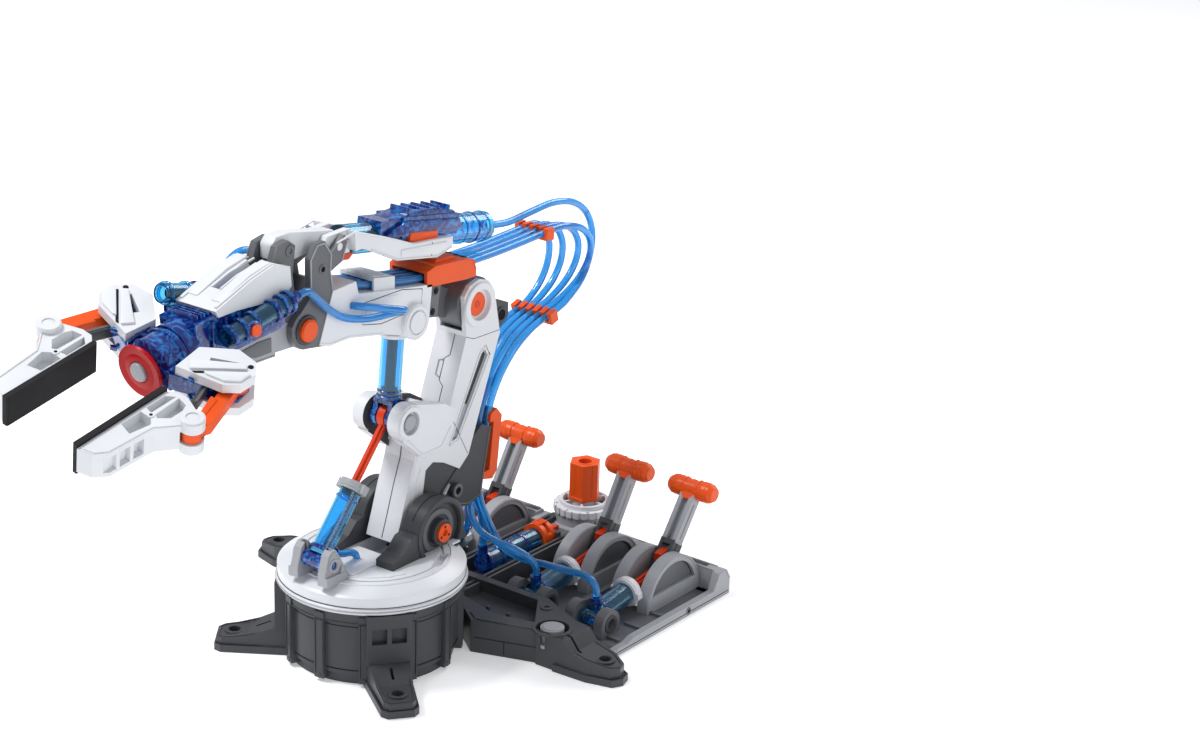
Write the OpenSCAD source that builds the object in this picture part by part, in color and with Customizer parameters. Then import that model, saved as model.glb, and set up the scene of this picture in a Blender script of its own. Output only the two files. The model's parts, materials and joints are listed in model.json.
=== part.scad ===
// Hydraulic robot arm kit: a lever console, a drum with a turntable and a six-motion arm.
// Millimetres, +Z up, origin on the floor at the turntable axis, the arm points to -Y.

/* [Node] */
// Sub-part to draw

/* [Base] */
// Drum radius
drum_r = 47; // [44:0.5:50]
// Drum height
drum_h = 42; // [36:1:48]
// Turntable radius
table_r = 51; // [48:0.5:54]
// Distance of the front foot holes from the axis
foot_hole_r = 73.7; // [68:0.1:80]
// Screw hole radius in the feet
foot_screw_r = 3.3; // [2:0.1:4]

/* [Arm] */
// Half width of the upper arm
arm_half = 10.5; // [9:0.5:12]
// Half width of the forearm
fore_half = 13; // [11:0.5:15]
// Barrel outer radius of the arm cylinders
barrel_r = 5.8; // [5:0.1:7]
// Bore radius of the barrels
bore_r = 4.4; // [3.5:0.1:5]

/* [Gripper] */
// Half opening between the rubber pads at rest
jaw_open = 20.6; // [18:0.1:24]
// Roll of the hand at rest
hand_roll = 17; // [0:1:30]
// Downward pitch of the hand at rest
hand_pitch = 12; // [0:1:30]

/* [Console] */
// Half width of the console tray
tray_half = 104; // [96:1:112]
// Lever stem height above its pivot
lever_len = 60; // [52:1:66]
// Lean of the inner levers at rest
inner_lean = 32; // [20:1:40]
// Lean of the outer levers at rest
outer_lean = 36; // [20:1:42]

/* [Hidden] */
$fn = 48;
dark = [0.27, 0.28, 0.30];
mid = [0.52, 0.54, 0.57];
pale = [0.74, 0.76, 0.79];
white = [0.93, 0.93, 0.94];
blue = [0.12, 0.52, 0.85];
navy = [0.08, 0.10, 0.55];
orange = [0.95, 0.38, 0.08];
redrod = [0.85, 0.20, 0.08];
black = [0.07, 0.07, 0.07];
gap = 0.06;        // radial running clearance

shoulder = [27, 66];
boss = [12, 130];
elbow = [73.9, 178.8];
cap_pin = [17.2, 184.6];
wrist = [-63, 200.5];
cradle_pin = [-38, 237.5];
push_pin = [-70, 242];
tail_pin = [-43, 66];
deck_z = 56;
pin_r = 2;
foot_az = 38.05;
hand_c = [0, -162, 203];
link_pin = [36, 26];
jaw_pin = [46, -14];
lever_y = 144;
lever_z = 7;
lever_x = [-82, -40, 40, 82];
lean = [outer_lean, inner_lean, inner_lean, outer_lean];
crank = [9.5, 13];     // rod pin from the lever pivot, in Y and Z
master_y = 88;
master_z = 11;
hose_r = 2;

// Hose routes, set by hand.
riser_outer = [[82, 91.5, 23], [81.8, 91.3, 27], [78.5, 91.5, 31], [71, 92.5, 32], [58, 94.5, 30],
    [42, 97.5, 27.5],
  [26, 97, 26.5], [15.5, 94.5, 30], [10, 92, 38], [6.8, 89, 48], [5, 85.6, 57.5], [4.4, 83.6, 65]];
riser_inner = [[40, 91.5, 23], [39.8, 91, 28], [36.5, 88.5, 33.5], [29, 84.5, 38], [20, 80.5, 41],
    [11.5, 77.5, 45.5],
  [5.8, 77, 52], [3.2, 78, 59], [2.3, 78.8, 65]];
riser_mid = [[0, 94, 29], [0, 94, 34], [0, 93, 42], [0, 90, 51], [0, 86, 59], [0, 83.6, 65]];
riser_x = [[-4.4, 0], [-2.3, -4.4], [0, 0], [2.3, -4.4], [4.4, 0]];
// [y, z, how far spread across]
climb_route = [[83.4, 66, 0], [85, 78, 0], [87.2, 92, 0], [89.6, 106, 0], [92.4, 120, 0.25], [98, 134, 0.65],
  [108, 146, 0.95], [122, 153.5, 1], [136, 157, 1]];
loop_route = [[150, 161.5, 0.1], [163, 169, 0.35], [171, 179, 0.6], [171.5, 190, 0.85], [164, 199.5, 1],
  [150, 204.6, 1], [136, 205, 1], [131, 204.8, 1]];
loop_size = [0.62, 0.78, 1, 1.14];
cradle_route = [[10, 136, 157], [10, 150, 161], [8, 168, 170], [4, 181, 181], [1, 186, 193], [0, 181, 205],
  [0, 168, 213.5], [0, 150, 217], [0, 130, 216], [0, 111, 214.6], [0, 95.4, 216.3]];
forearm_route = [[130.5, 204.8], [112, 204], [92, 203.4], [72, 203.4], [52, 203.8], [34, 203.9], [18, 205.4],
  [4, 207.8], [-8, 209.6], [-18, 211.8], [-26, 213.6]];
wrist_right_route = [[13, -30, 205], [16.5, -28.5, 205], [21.5, -21, 203.5], [25, -11, 201],
    [25.5, -4.5, 199],
  [22.5, -2.5, 197.6], [19.5, -9, 196.8], [17.6, -24, 197.6], [16.6, -40, 202], [16.4, -52, 210],
  [16.8, -62, 219], [17, -67, 222.4], [17.2, -73.7, 222]];
wrist_left_route = [[-13, -30, 206], [-16.6, -31.5, 207.4], [-19, -38, 212], [-19.8, -48, 221],
    [-19.8, -60, 231],
  [-19.4, -72, 237], [-19, -82, 235.6], [-18.7, -89.5, 228.6], [-18.6, -94.4, 222.6], [-18.6, -100.7, 222]];
lift_route = [[0, -29.9, 66.6], [0, -26.4, 64], [0, -22, 62.4], [0, -17.6, 61.6],
    [0, -13.6, 59.4], [0, -12, 56]];

// A profile in the YZ plane, drawn between two X positions.
module slab(pts, x0, x1) {
  translate([x0, 0, 0]) rotate([90, 0, 90]) linear_extrude(x1 - x0) polygon(pts);
}

// A pin along X at a YZ position.
module xpin(p, r, x0, x1) {
  translate([x0, p[0], p[1]]) rotate([0, 90, 0]) cylinder(r = r, h = x1 - x0);
}

// Children with +Z turned along the line from a to b in the YZ plane, at a.
module aim(a, b) {
  translate([0, a[0], a[1]]) rotate([atan2(a[0] - b[0], b[1] - a[1]), 0, 0]) children();
}

// The hand's own axes: +X to the right jaw, -Y forward, origin at the suction cup.
module hand_at() {
  translate(hand_c) rotate([hand_pitch, 0, 0]) rotate([0, hand_roll, 0]) children();
}

module both() {
  children();
  mirror([1, 0, 0]) children();
}

// ---------------------------------------------------------------- base

module foot(side) {
  rotate(side * (90 - foot_az)) difference() {
    intersection() {
      union() {
        linear_extrude(30) polygon([[-12, -38], [12, -38], [8.5, -80], [6, -83], [-6, -83], [-8.5, -80]]);
        linear_extrude(4) polygon([[-13, -38], [13, -38], [10, -80.5], [7, -84], [-7, -84], [-10, -80.5]]);
      }
      slab([[-37, 0], [-37, 17], [-52, 15], [-66, 9.5], [-84, 7.5], [-84, 0]], -20, 20);
    }
    translate([0, -foot_hole_r, -1]) cylinder(r = foot_screw_r, h = 20);
    translate([-0.8, -62, 8]) cube([1.6, 8, 20]);
  }
}

module base_drum() color(dark) difference() {
  union() {
    cylinder(r = drum_r - 3, h = 8, $fn = 96);
    translate([0, 0, 6]) cylinder(r = drum_r - 0.8, h = drum_h - 6, $fn = 96);
    translate([0, 0, drum_h - 6]) cylinder(r = drum_r + 0.8, h = 6, $fn = 96);
    for (k = [0:11]) rotate(k * 30 + 7) translate([drum_r - 4, -3, 2]) cube([5.6, 6, drum_h - 4]);
    for (s = [-1, 1]) rotate(-90 + s * (90 - foot_az)) translate([43, -12, 14]) cube([8, 24, drum_h - 14]);
    foot(1);
    foot(-1);
  }
  // hollow inside, with a deck round the bore
  difference() {
    translate([0, 0, -1]) cylinder(r = drum_r - 5, h = drum_h - 4, $fn = 96);
    for (k = [0:3]) rotate(k * 90 + 45) translate([36, 0, 2.5]) cylinder(r = 4, h = drum_h);
  }
  for (k = [0:3]) rotate(k * 90 + 45) translate([36, 0, 2]) cylinder(r = 1.3, h = 14);
  translate([0, 0, -1]) cylinder(r = 12 + gap, h = drum_h + 2, $fn = 72);
  // two square windows in the outer face of each pocket
  for (s = [-1, 1]) rotate(-90 + s * (90 - foot_az)) for (t = [-1, 1])
    translate([47.6, t * 5.2 - 4, 26]) cube([5, 8, 8.6]);
}

module bottom_cover() color(dark) difference() {
  cylinder(r = drum_r - 5.1, h = 2.5, $fn = 96);
  for (k = [0:3]) rotate(k * 90 + 45) translate([36, 0, -1]) {
    cylinder(r = 1.6, h = 6);
    cylinder(r = 3, h = 2);
  }
}

module link_frame() color(dark) difference() {
  union() {
    linear_extrude(19) polygon([[-78, 42], [-44, 30], [-36, 36], [-20, 47], [20, 47], [36, 36], [44, 30],
      [78, 42], [97, 43], [97, 62], [60, 78], [-60, 78], [-97, 62], [-97, 43]]);
    both() intersection() {
      linear_extrude(30) polygon([[80, 41], [112, 42], [126, 46], [129, 51], [127, 57], [118, 62], [88, 66]]);
      rotate([90, 0, 0]) translate([0, 0, -90]) linear_extrude(90)
        polygon([[60, 0], [60, 19], [98, 19], [104, 13], [130, 9], [130, 0]]);
    }
    both() linear_extrude(4) polygon([[92, 40], [113, 41], [128, 45], [131, 51], [129, 58],
        [118, 63.5], [92, 66]]);
  }
  // a shallow open tray between the walls
  translate([0, 0, 12]) linear_extrude(10) polygon([[-72, 50], [-50, 44], [-40, 46], [-22, 51], [22, 51],
    [40, 46], [50, 44], [72, 50], [56, 73], [-56, 73]]);
  both() {
    translate([118, 52, -1]) cylinder(r = foot_screw_r, h = 30);
    translate([84, 50, 10]) cylinder(r = 9, h = 12);
    translate([58, 39, 16]) rotate(18) cube([7, 6, 5], center = true);
    translate([100, 48, 18]) rotate(-8) cube([12, 1.6, 20], center = true);
  }
  translate([0, 0, -1]) cylinder(r = drum_r + 1.9, h = 60, $fn = 96);
}

// ---------------------------------------------------------------- console

module console_tray() color(mid) difference() {
  union() {
    translate([-tray_half, 78, 0]) cube([2 * tray_half, 102, 4]);
    // the joint to the drum under the channel
    linear_extrude(12) polygon([[-11, 49.6], [11, 49.6], [11, 84], [-11, 84]]);
    // cylinder cheeks at the front
    for (x = lever_x) for (s = [-1, 1]) translate([x + s * 10 - 3, 0, 0]) {
      translate([0, master_y - 8, 0]) cube([6, 16, master_z]);
      xpin([master_y, master_z], 8, 0, 6);
    }
    // floor ribs beside the fenders
    for (x = [-61, 61]) translate([x - 1.5, 100, 3]) cube([3, 76, 5]);
    for (s = [-1, 1]) translate([s * 20 - 1.5, 80, 3]) cube([3, 96, 4]);
  }
  // windows in the floor under the levers
  for (x = lever_x) translate([x - 6, 128, -1]) cube([12, 40, 10]);
  for (x = lever_x) xpin([master_y, master_z], 3.2, x - 14, x + 14);
}

module console_border() color(pale) difference() {
  union() {
    // caps on the link's bosses
    both() translate([84, 50, 10]) cylinder(r = 8.6, h = 2);
    both() translate([84, 50, 12]) cylinder(r = 6.5, h = 8);
    // sloping rear edge
    slab([[168, 0], [184, 0], [184, 10], [180, 16], [174, 16], [172, 4], [168, 4]], -tray_half, -24);
    slab([[168, 0], [184, 0], [184, 10], [180, 16], [174, 16], [172, 4], [168, 4]], 24, tray_half);
    both() translate([tray_half, 0, 0]) slab([[74, 0], [184, 0], [184, 10], [180, 16], [172, 16],
      [168, 6], [92, 6], [86, 4], [74, 4]], 0, 4);
  }
  for (s = [-1, 1]) for (x = [34, 62, 88]) translate([s * x - 9, 176, 13]) cube([18, 3.2, 8]);
  for (s = [-1, 1]) for (x = [40, 80]) translate([s * x - 14, 183.2, 3]) cube([28, 2, 5]);
}

module centre_channel() color(dark) difference() {
  union() {
    for (s = [-1, 1]) translate([s * 12.5 - 2.5, 60, 4]) cube([5, 118, 13]);
    translate([-15, 80, 4]) cube([30, 96, 3]);
    translate([-15, 52, 12]) cube([30, 10, 5]);
    translate([-10, 150, 4]) cube([20, 3, 16]);
  }
  for (s = [-1, 1]) translate([s * 12.5 - 0.9, 64, 15.5]) cube([1.8, 108, 3]);
  translate([0, 60, 17]) rotate([-90, 0, 0]) cylinder(r = 6.2, h = 94);
}

module knob_tower() color(pale) difference() {
  union() {
    translate([0, 188, 0]) cylinder(r = 19, h = 14, $fn = 72);
    translate([0, 188, 14]) cylinder(r = 17, h = 6, $fn = 72);
    translate([-24, 168, 0]) cube([48, 14, 14]);
    translate([0, 188, 20]) cylinder(r = 6, h = 3.5);
  }
  translate([0, 188, -1]) cylinder(r = 3 + gap, h = 40);
  for (s = [-1, 1]) translate([s * 17 - 3, 168.5, 11]) cube([6, 12, 8]);
}

module dial() color(white) translate([0, 188, 20.5]) difference() {
  union() {
    cylinder(r = 18, h = 4, $fn = 72);
    translate([0, 0, 4]) cylinder(r = 14.5, h = 2.5, $fn = 72);
  }
  translate([0, 0, -1]) cylinder(r = 6 + gap, h = 12);
  translate([0, 0, 3]) difference() {
    cylinder(r = 12.5, h = 6);
    translate([0, 0, -1]) cylinder(r = 8, h = 8);
    for (k = [0:5]) rotate(k * 60) translate([10, 0, 3]) cube([12, 1.6, 12], center = true);
  }
  for (k = [0:23]) rotate(k * 15) translate([18, 0, 2]) cube([1.4, 1.6, 6], center = true);
}

module knob() color(orange) translate([0, 188, 0]) difference() {
  union() {
    cylinder(r = 3, h = 34);
    translate([0, 0, 27.6]) cylinder(r = 9.6, h = 23, $fn = 6);
  }
  translate([0, 0, 36]) cylinder(r = 4, h = 20);
  for (k = [0:5]) rotate(k * 60 + 30) translate([8.9, 0, 40]) cube([1.4, 2.4, 30], center = true);
}

// One pair of half-round guards with the pivot pin bore.
module fender_pair(x) {
  for (s = [-1, 1]) translate([x + s * 9.5 - 3.5, 0, 0]) difference() {
    intersection() {
      xpin([lever_y + 3, 6], 25, 0, 7);
      translate([-1, 100, 4]) cube([9, 80, 40]);
    }
    // thinned outside face leaves a raised rim
    intersection() {
      xpin([lever_y + 3, 6], 21.5, s > 0 ? 5 : -1, s > 0 ? 9 : 2);
      translate([-2, 100, 13]) cube([12, 80, 40]);
    }
  }
}

module lever_fenders() color(pale) for (x = lever_x) {
  fender_pair(x);
  xpin([lever_y, lever_z], 2.5, x - 13, x + 13);
}

module lever(i) {
  x = lever_x[i];
  translate([x, lever_y, lever_z]) {
    color(pale) difference() {
      union() {
        rotate([0, 90, 0]) translate([0, 0, -4.5]) cylinder(r = 6, h = 9);
        rotate([-lean[i], 0, 0]) {
          translate([-4.5, -5, 0]) cube([9, 10, 31]);
          for (s = [-1, 1]) translate([s * 3.4 - 1.3, -4, 30]) cube([2.6, 8, lever_len - 30]);
          translate([-4.5, -0.8, 30]) cube([9, 1.6, lever_len - 30]);
        }
      }
      rotate([0, 90, 0]) translate([0, 0, -10]) cylinder(r = 2.5 + gap, h = 20);
      // the fork for the rod end
      rotate([-lean[i], 0, 0]) translate([-2.7, -20, 4.6]) cube([5.4, 40, 23.4]);
    }
    color(pale) translate([0, crank[0], crank[1]]) rotate([0, 90, 0]) translate([0, 0, -4])
      cylinder(r = 1.6, h = 8);
    color(orange) rotate([-lean[i], 0, 0]) translate([0, 0, lever_len + 3]) rotate([0, 90, 0])
      rotate_extrude() polygon([[0, -15], [4, -15], [5.6, -12.5], [6, -8], [5.2, -3], [5.2, 3], [6, 8],
        [5.6, 12.5], [4, 15], [0, 15]]);
    color(orange) rotate([-lean[i], 0, 0]) translate([-4, -4, lever_len - 4]) cube([8, 8, 6]);
  }
}

module lever_a() lever(0);
module lever_b() lever(1);
module lever_c() lever(2);
module lever_d() lever(3);

crank_at = [lever_y + crank[0], lever_z + crank[1]];
master_from = [master_y, master_z];
master_len = norm(crank_at - master_from);

// Cross-section rod from the piston to the lever crank; its end has an upright slot.
module master_rod(i) color(redrod) translate([lever_x[i], 0, 0]) aim(master_from, crank_at) {
  difference() {
    union() {
      translate([0, 0, 22]) cylinder(r = 5 - gap, h = 4);
      translate([-2.6, -0.9, 26]) cube([5.2, 1.8, master_len - 28]);
      translate([-0.9, -2.6, 26]) cube([1.8, 5.2, master_len - 30]);
      translate([-2.4, -9.2, master_len - 3.8]) cube([4.8, 13.8, 7.6]);
    }
    translate([-3, -7.4, master_len - 2.1]) cube([6, 10.6, 4.2]);
  }
}

module rod_a() master_rod(0);
module rod_b() master_rod(1);
module rod_c() master_rod(2);
module rod_d() master_rod(3);

module master_barrels() color(blue) for (x = lever_x) translate([x, 0, 0]) aim(master_from, crank_at) {
  difference() {
    union() {
      translate([0, 0, 3]) cylinder(r = 6.4, h = 27);
      rotate([0, 90, 0]) translate([0, 0, -6.9]) cylinder(r = 3.9, h = 13.8);
    }
    translate([0, 0, 7]) cylinder(r = 5, h = 40);
  }
  // elbow fitting for the hose
  translate([0, 0, 5]) rotate([90, 0, 0]) cylinder(r = 3.2, h = 11);
  // end collar with two ears
  translate([0, 0, 30]) difference() {
    union() {
      cylinder(r = 8.2, h = 5);
      translate([-9.5, -2, 0]) cube([19, 4, 4]);
    }
    translate([0, 0, -1]) cylinder(r = 4.2, h = 9);
  }
}

module base_barrel() color(blue) difference() {
  union() {
    translate([0, 96, 17]) rotate([-90, 0, 0]) cylinder(r = 6.2, h = 54);
    translate([0, 92, 17]) rotate([-90, 0, 0]) cylinder(r = 4.6, h = 5);
    translate([0, 94, 17]) cylinder(r = 2.8, h = 12);
  }
  translate([0, 100, 17]) rotate([-90, 0, 0]) cylinder(r = 5, h = 60);
}

module base_rod() color(redrod) {
  translate([0, 118, 17]) rotate([-90, 0, 0]) cylinder(r = 5 - gap, h = 5);
  translate([-1.6, 122, 15.4]) cube([3.2, 40, 3.2]);
}

module base_clip() color(orange) difference() {
  translate([0, 141, 17]) rotate([-90, 0, 0]) cylinder(r = 8.6, h = 9);
  translate([0, 140, 17]) rotate([-90, 0, 0]) cylinder(r = 6.2, h = 12);
  translate([-20, 130, 0]) cube([40, 40, 12]);
  translate([-20, 144, 20]) cube([40, 3, 20]);
}

// ---------------------------------------------------------------- turntable

module turntable() color(white) difference() {
  union() {
    rotate_extrude($fn = 120) polygon([[0, drum_h + 0.5], [table_r - 0.6, drum_h + 0.5],
      [table_r, drum_h + 1.2], [table_r, drum_h + 3.4], [table_r - 0.8, drum_h + 3.9],
      [table_r - 0.6, drum_h + 9.6], [table_r - 2, drum_h + 10.6], [table_r - 8, deck_z - 0.4],
      [table_r - 9.5, deck_z], [0, deck_z]]);
    translate([0, 0, 34]) cylinder(r = 12, h = 12, $fn = 72);
  }
  // hollow underside
  rotate_extrude($fn = 96) polygon([[16, drum_h - 1], [46, drum_h - 1], [46, drum_h + 6], [38, drum_h + 10],
    [24, drum_h + 4], [16, drum_h + 4]]);
  // well for the foot of the column
  translate([-12.4, 1, 47.6]) cube([24.8, 38, 20]);
  // arc groove and slot
  rotate_extrude($fn = 96) polygon([[37, deck_z - 1], [38.2, deck_z - 1], [38.2, deck_z + 1],
      [37, deck_z + 1]]);
  translate([34, 16, deck_z - 3]) rotate(24) translate([-2.5, -9, 0]) cube([5, 18, 6]);
  mirror([1, 0, 0]) translate([34, 16, deck_z - 3]) rotate(24) translate([-2.5, -9, 0]) cube([5, 18, 6]);
  // hose pass-through behind the column
  translate([-8, 40, 40]) cube([16, 6, 20]);
}

module table_ring() color(white) translate([0, 0, 34]) difference() {
  cylinder(r = 16, h = 2.8, $fn = 72);
  translate([0, 0, -1]) cylinder(r = 12, h = 6, $fn = 72);
}

module bracket_half() difference() {
  union() {
    slab([[-12, deck_z], [-12, deck_z + 4], [-4, deck_z + 6.5], [3, deck_z + 13], [8, 70], [8, 60], [46, 60],
      [48, deck_z + 3], [48, deck_z]], 13.4, 25);
    xpin(shoulder, 19, 13.4, 25);
    slab([[2, deck_z], [7, 68], [18, 82], [27, 85], [27, 70], [16, deck_z]], 13.4, 25);
    xpin(shoulder, 7.2, 25, 26.4);
  }
  difference() {
    xpin(shoulder, 15.8, 22.6, 30);
    xpin(shoulder, 7.2, 20, 32);
  }
  translate([10, -60, 40]) cube([30, 160, deck_z - 40]);
  xpin(shoulder, 4, 10, 40);
}

module brackets() color(dark) both() bracket_half();

module ear_half() difference() {
  union() {
    slab([[-50, deck_z], [-50, 62], [-47, 72], [-44.5, 74.5], [-41.5, 74.5], [-38, 69], [-33, 60],
        [-31, deck_z]],
      7, 12);
    slab([[-50, deck_z], [-50, 61], [-36, 61], [-33, deck_z]], 7, 13.6);
  }
  xpin(tail_pin, pin_r + 0.1 + gap, 5, 14);
  slab([[-44.4, 66], [-41.6, 66], [-41.6, 80], [-44.4, 80]], 5, 10);
}

module clevis_ears() color(pale) both() ear_half();

module star_end(x0, x1) {
  difference() {
    xpin(shoulder, 5.2, x0, x1);
    xpin(shoulder, 1.9, x0 - 1, x1 + 1);
  }
}

module shoulder_axle() color(orange) {
  xpin(shoulder, 4, -26.4, 26.4);
  star_end(26.4, 28);
  star_end(-28, -26.4);
}

// ---------------------------------------------------------------- shoulder cylinder

lift_len = norm(boss - tail_pin);

module lift_barrel() {
  color(blue) aim(tail_pin, boss) difference() {
    translate([0, 0, 3]) cylinder(r = barrel_r, h = 39);
    translate([0, 0, 5]) cylinder(r = bore_r, h = 60);
  }
  color(navy) xpin(tail_pin, 4.6, -6.6, 6.6);
  color(navy) xpin(tail_pin, pin_r + 0.1, -11.6, 11.6);
  color(navy) aim(tail_pin, boss) translate([0, 4.6, 9]) rotate([-90, 0, 0]) cylinder(r = 2.8, h = 4.9);
  color(pale) aim(tail_pin, boss) translate([0, 0, 40]) difference() {
    union() {
      cylinder(r = 7.4, h = 5);
      translate([-9, -2.2, 0]) cube([18, 4.4, 5]);
    }
    translate([0, 0, -1]) cylinder(r = bore_r, h = 3);
    translate([0, 0, -1]) cylinder(r = 3, h = 9);
  }
}

module lift_rod() color(redrod) aim(tail_pin, boss) difference() {
  union() {
    translate([0, 0, 37.4]) cylinder(r = bore_r - gap, h = 2.6);
    translate([-2.2, -0.9, 39]) cube([4.4, 1.8, lift_len - 44.4]);
    translate([-0.9, -2.2, 39]) cube([1.8, 4.4, lift_len - 44.4]);
    translate([-2.4, 0, lift_len]) rotate([0, 90, 0]) cylinder(r = 6.2, h = 4.8);
  }
  translate([-4, 0, lift_len]) rotate([0, 90, 0]) cylinder(r = 4.5, h = 8);
}

// ---------------------------------------------------------------- upper arm

module column() color(white) difference() {
  union() {
    difference() {
      // one boomerang shape from the turntable to the elbow
      slab([[18, 60], [7, 61], [11.5, 74], [16, 88], [22, 104], [24, 117], [30, 119], [49.5, 124.3],
        [63.6, 163], [61.5, 186], [66, 191], [73.9, 193.2], [82, 190.5], [87, 184], [92.2, 158.5],
        [66.9, 94.6], [54, 84], [44, 72], [37, 62], [30, 57]], -arm_half, arm_half);
      // room for the forearm's drum between the cheeks
      xpin(elbow, 15.2, -7.6, 7.6);
      slab([[40, 179], [60, 166.5], [74, 163.5], [74, 200], [40, 210]], -7.6, 7.6);
      // open back channel for the hoses
      slab([[70, 150], [84, 150], [110, 150], [60, 60], [46, 60], [54, 100]], -6.5, 6.5);
    }
    // forward lugs that hold the boss pin
    both() difference() {
      union() {
        xpin(boss, 10, 8.4, 16);
        slab([[6, 121], [22, 108], [38, 108], [46, 118], [50, 127], [40, 133], [17, 139]], 8.4, 16);
      }
      xpin(boss, 6.4, 13.6, 20);
    }
    slab([[22, 112], [30, 112], [44, 119], [47, 127], [38, 131], [24, 124]], -9, 9);
  }
  // trimmed round the shoulder so that it turns in the well
  difference() {
    slab([[-20, 30], [60, 30], [60, 66], [-20, 66]], -40, 40);
    xpin(shoulder, 10.5, -12, 12);
    slab([[5, 60], [27, 60], [27, 70], [5, 70]], -12, 12);
    slab([[27, 66.5], [44, 66.4], [44, 66], [27, 60]], -12, 12);
  }
  xpin(shoulder, 4 + gap, -20, 20);
  xpin(boss, 3.4, -14, 14);
  xpin(boss, 12, -8.4, 8.4);
  // arch opening with the dark core inside
  for (s = [-1, 1]) slab([[29, 84], [31, 96], [37, 99], [46, 96], [60, 88], [50, 80], [40, 70], [30, 74]],
    s > 0 ? 8.5 : -12, s > 0 ? 12 : -8.5);
  // long slots in the side plates
  for (s = [-1, 1]) slab([[52, 106], [57, 107], [82, 148], [79.5, 152], [76.5, 150]],
    s > 0 ? 8.6 : -12, s > 0 ? 12 : -8.6);
  // round openings that show the elbow axle
  xpin(elbow, 8.6, 9, 14);
  xpin(elbow, 8.6, -14, -9);
  xpin(elbow, 3.5, -14, 14);
}

module column_core() color(dark) {
  // walls of the hose channel
  both() slab([[46, 78], [56, 66], [70, 63], [80, 66], [88, 104], [80, 108], [70, 101],
      [66.9, 94.6], [54, 84]],
    6.9, 9);
  slab([[46, 76], [52, 86], [62, 96], [67, 106], [70, 101], [66, 90], [56, 76], [50, 72]], -6.9, 6.9);
  // rear bracket with a round socket
  difference() {
    slab([[88.9, 173], [89.7, 178], [106, 171], [106, 163], [98, 158], [90.2, 160]], -5, 5);
    xpin([99.5, 165.5], 3.4, -10, 10);
  }
  // round socket under the arch
  both() difference() {
    xpin([56, 77], 4.2, 9, 12.4);
    xpin([56, 77], 2.2, 7, 14);
  }
}

// A bar with a row of hose notches, centred on the hoses it holds.
module comb(at, tilt, n) translate([0, at[0], at[1]]) rotate([tilt, 0, 0]) difference() {
  translate([-2.5 * n - 1.6, -3, -3.4]) cube([5 * n + 3.2, 6, 6.8]);
  for (k = [0:n - 1]) translate([5 * (k - (n - 1) / 2), 0, 0]) {
    rotate([90, 0, 0]) translate([0, 0, -5]) cylinder(r = hose_r, h = 10);
    translate([-1, -5, 0]) cube([2, 10, 6]);
  }
}

module hose_combs() color(orange) {
  comb([136, 156.5], 17, 5);
  comb([134, 204.6], -2, 4);
  // strip that holds the vertical run
  difference() {
    slab([[83, 74], [91, 72], [95, 76], [98.5, 108], [94, 113], [89, 111]], -8, 8);
    slab([[80, 78], [88.4, 78], [91.6, 106], [80, 106]], -10, 10);
    for (h = riser_x) translate([h[0], 83.4 + h[1], 66]) rotate([-9.3, 0, 0]) cylinder(r = hose_r, h = 60);
  }
}

module boss_pin() color(pale) {
  xpin(boss, 3.4, -13.6, 13.6);
  for (s = [-1, 1]) xpin(boss, 4.6, s > 0 ? 13.6 : -15.6, s > 0 ? 15.6 : -13.6);
}

module elbow_axle() color(orange) {
  xpin(elbow, 3.5, -9, 9);
}

// ---------------------------------------------------------------- elbow cylinder

bend_len = norm(cap_pin - boss);

module bend_barrel() {
  color(blue) aim(boss, cap_pin) difference() {
    translate([0, 0, 8.4]) cylinder(r = barrel_r + 0.4, h = 36);
    translate([0, 0, 10.6]) cylinder(r = bore_r + 0.4, h = 60);
  }
  color(navy) difference() {
    union() {
      for (s = [-1, 1]) xpin(boss, 6.4, s > 0 ? 3.4 : -6.6, s > 0 ? 6.6 : -3.4);
      aim(boss, cap_pin) translate([-6.6, -4.6, 7.6]) cube([13.2, 9.2, 2.4]);
      for (s = [-1, 1]) aim(boss, cap_pin) translate([s * 5 - 1.5, -4.5, 0]) cube([3, 9, 9]);
    }
    xpin(boss, 3.4 + gap, -9, 9);
  }
  color(white) aim(boss, cap_pin) translate([0, 0, 43.6]) difference() {
    union() {
      cylinder(r = 6.8, h = 3.2);
      translate([-7.1, -2, 0]) cube([14.2, 4, 3]);
    }
    translate([0, 0, -1]) cylinder(r = bore_r + 0.4, h = 2.8);
    translate([0, 0, -1]) cylinder(r = 3.2, h = 9);
  }
}

module bend_rod() color(redrod) aim(boss, cap_pin) difference() {
  union() {
    translate([0, 0, 13.4]) cylinder(r = bore_r + 0.4 - gap, h = 2.2);
    translate([-2.3, -0.9, 14.6]) cube([4.6, 1.8, bend_len - 19]);
    translate([-0.9, -2.3, 14.6]) cube([1.8, 4.6, bend_len - 19]);
    translate([-2.4, 0, bend_len]) rotate([0, 90, 0]) cylinder(r = 5.4, h = 4.8);
  }
  translate([-4, 0, bend_len]) rotate([0, 90, 0]) cylinder(r = 3.6, h = 8);
}

// ---------------------------------------------------------------- forearm

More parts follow.
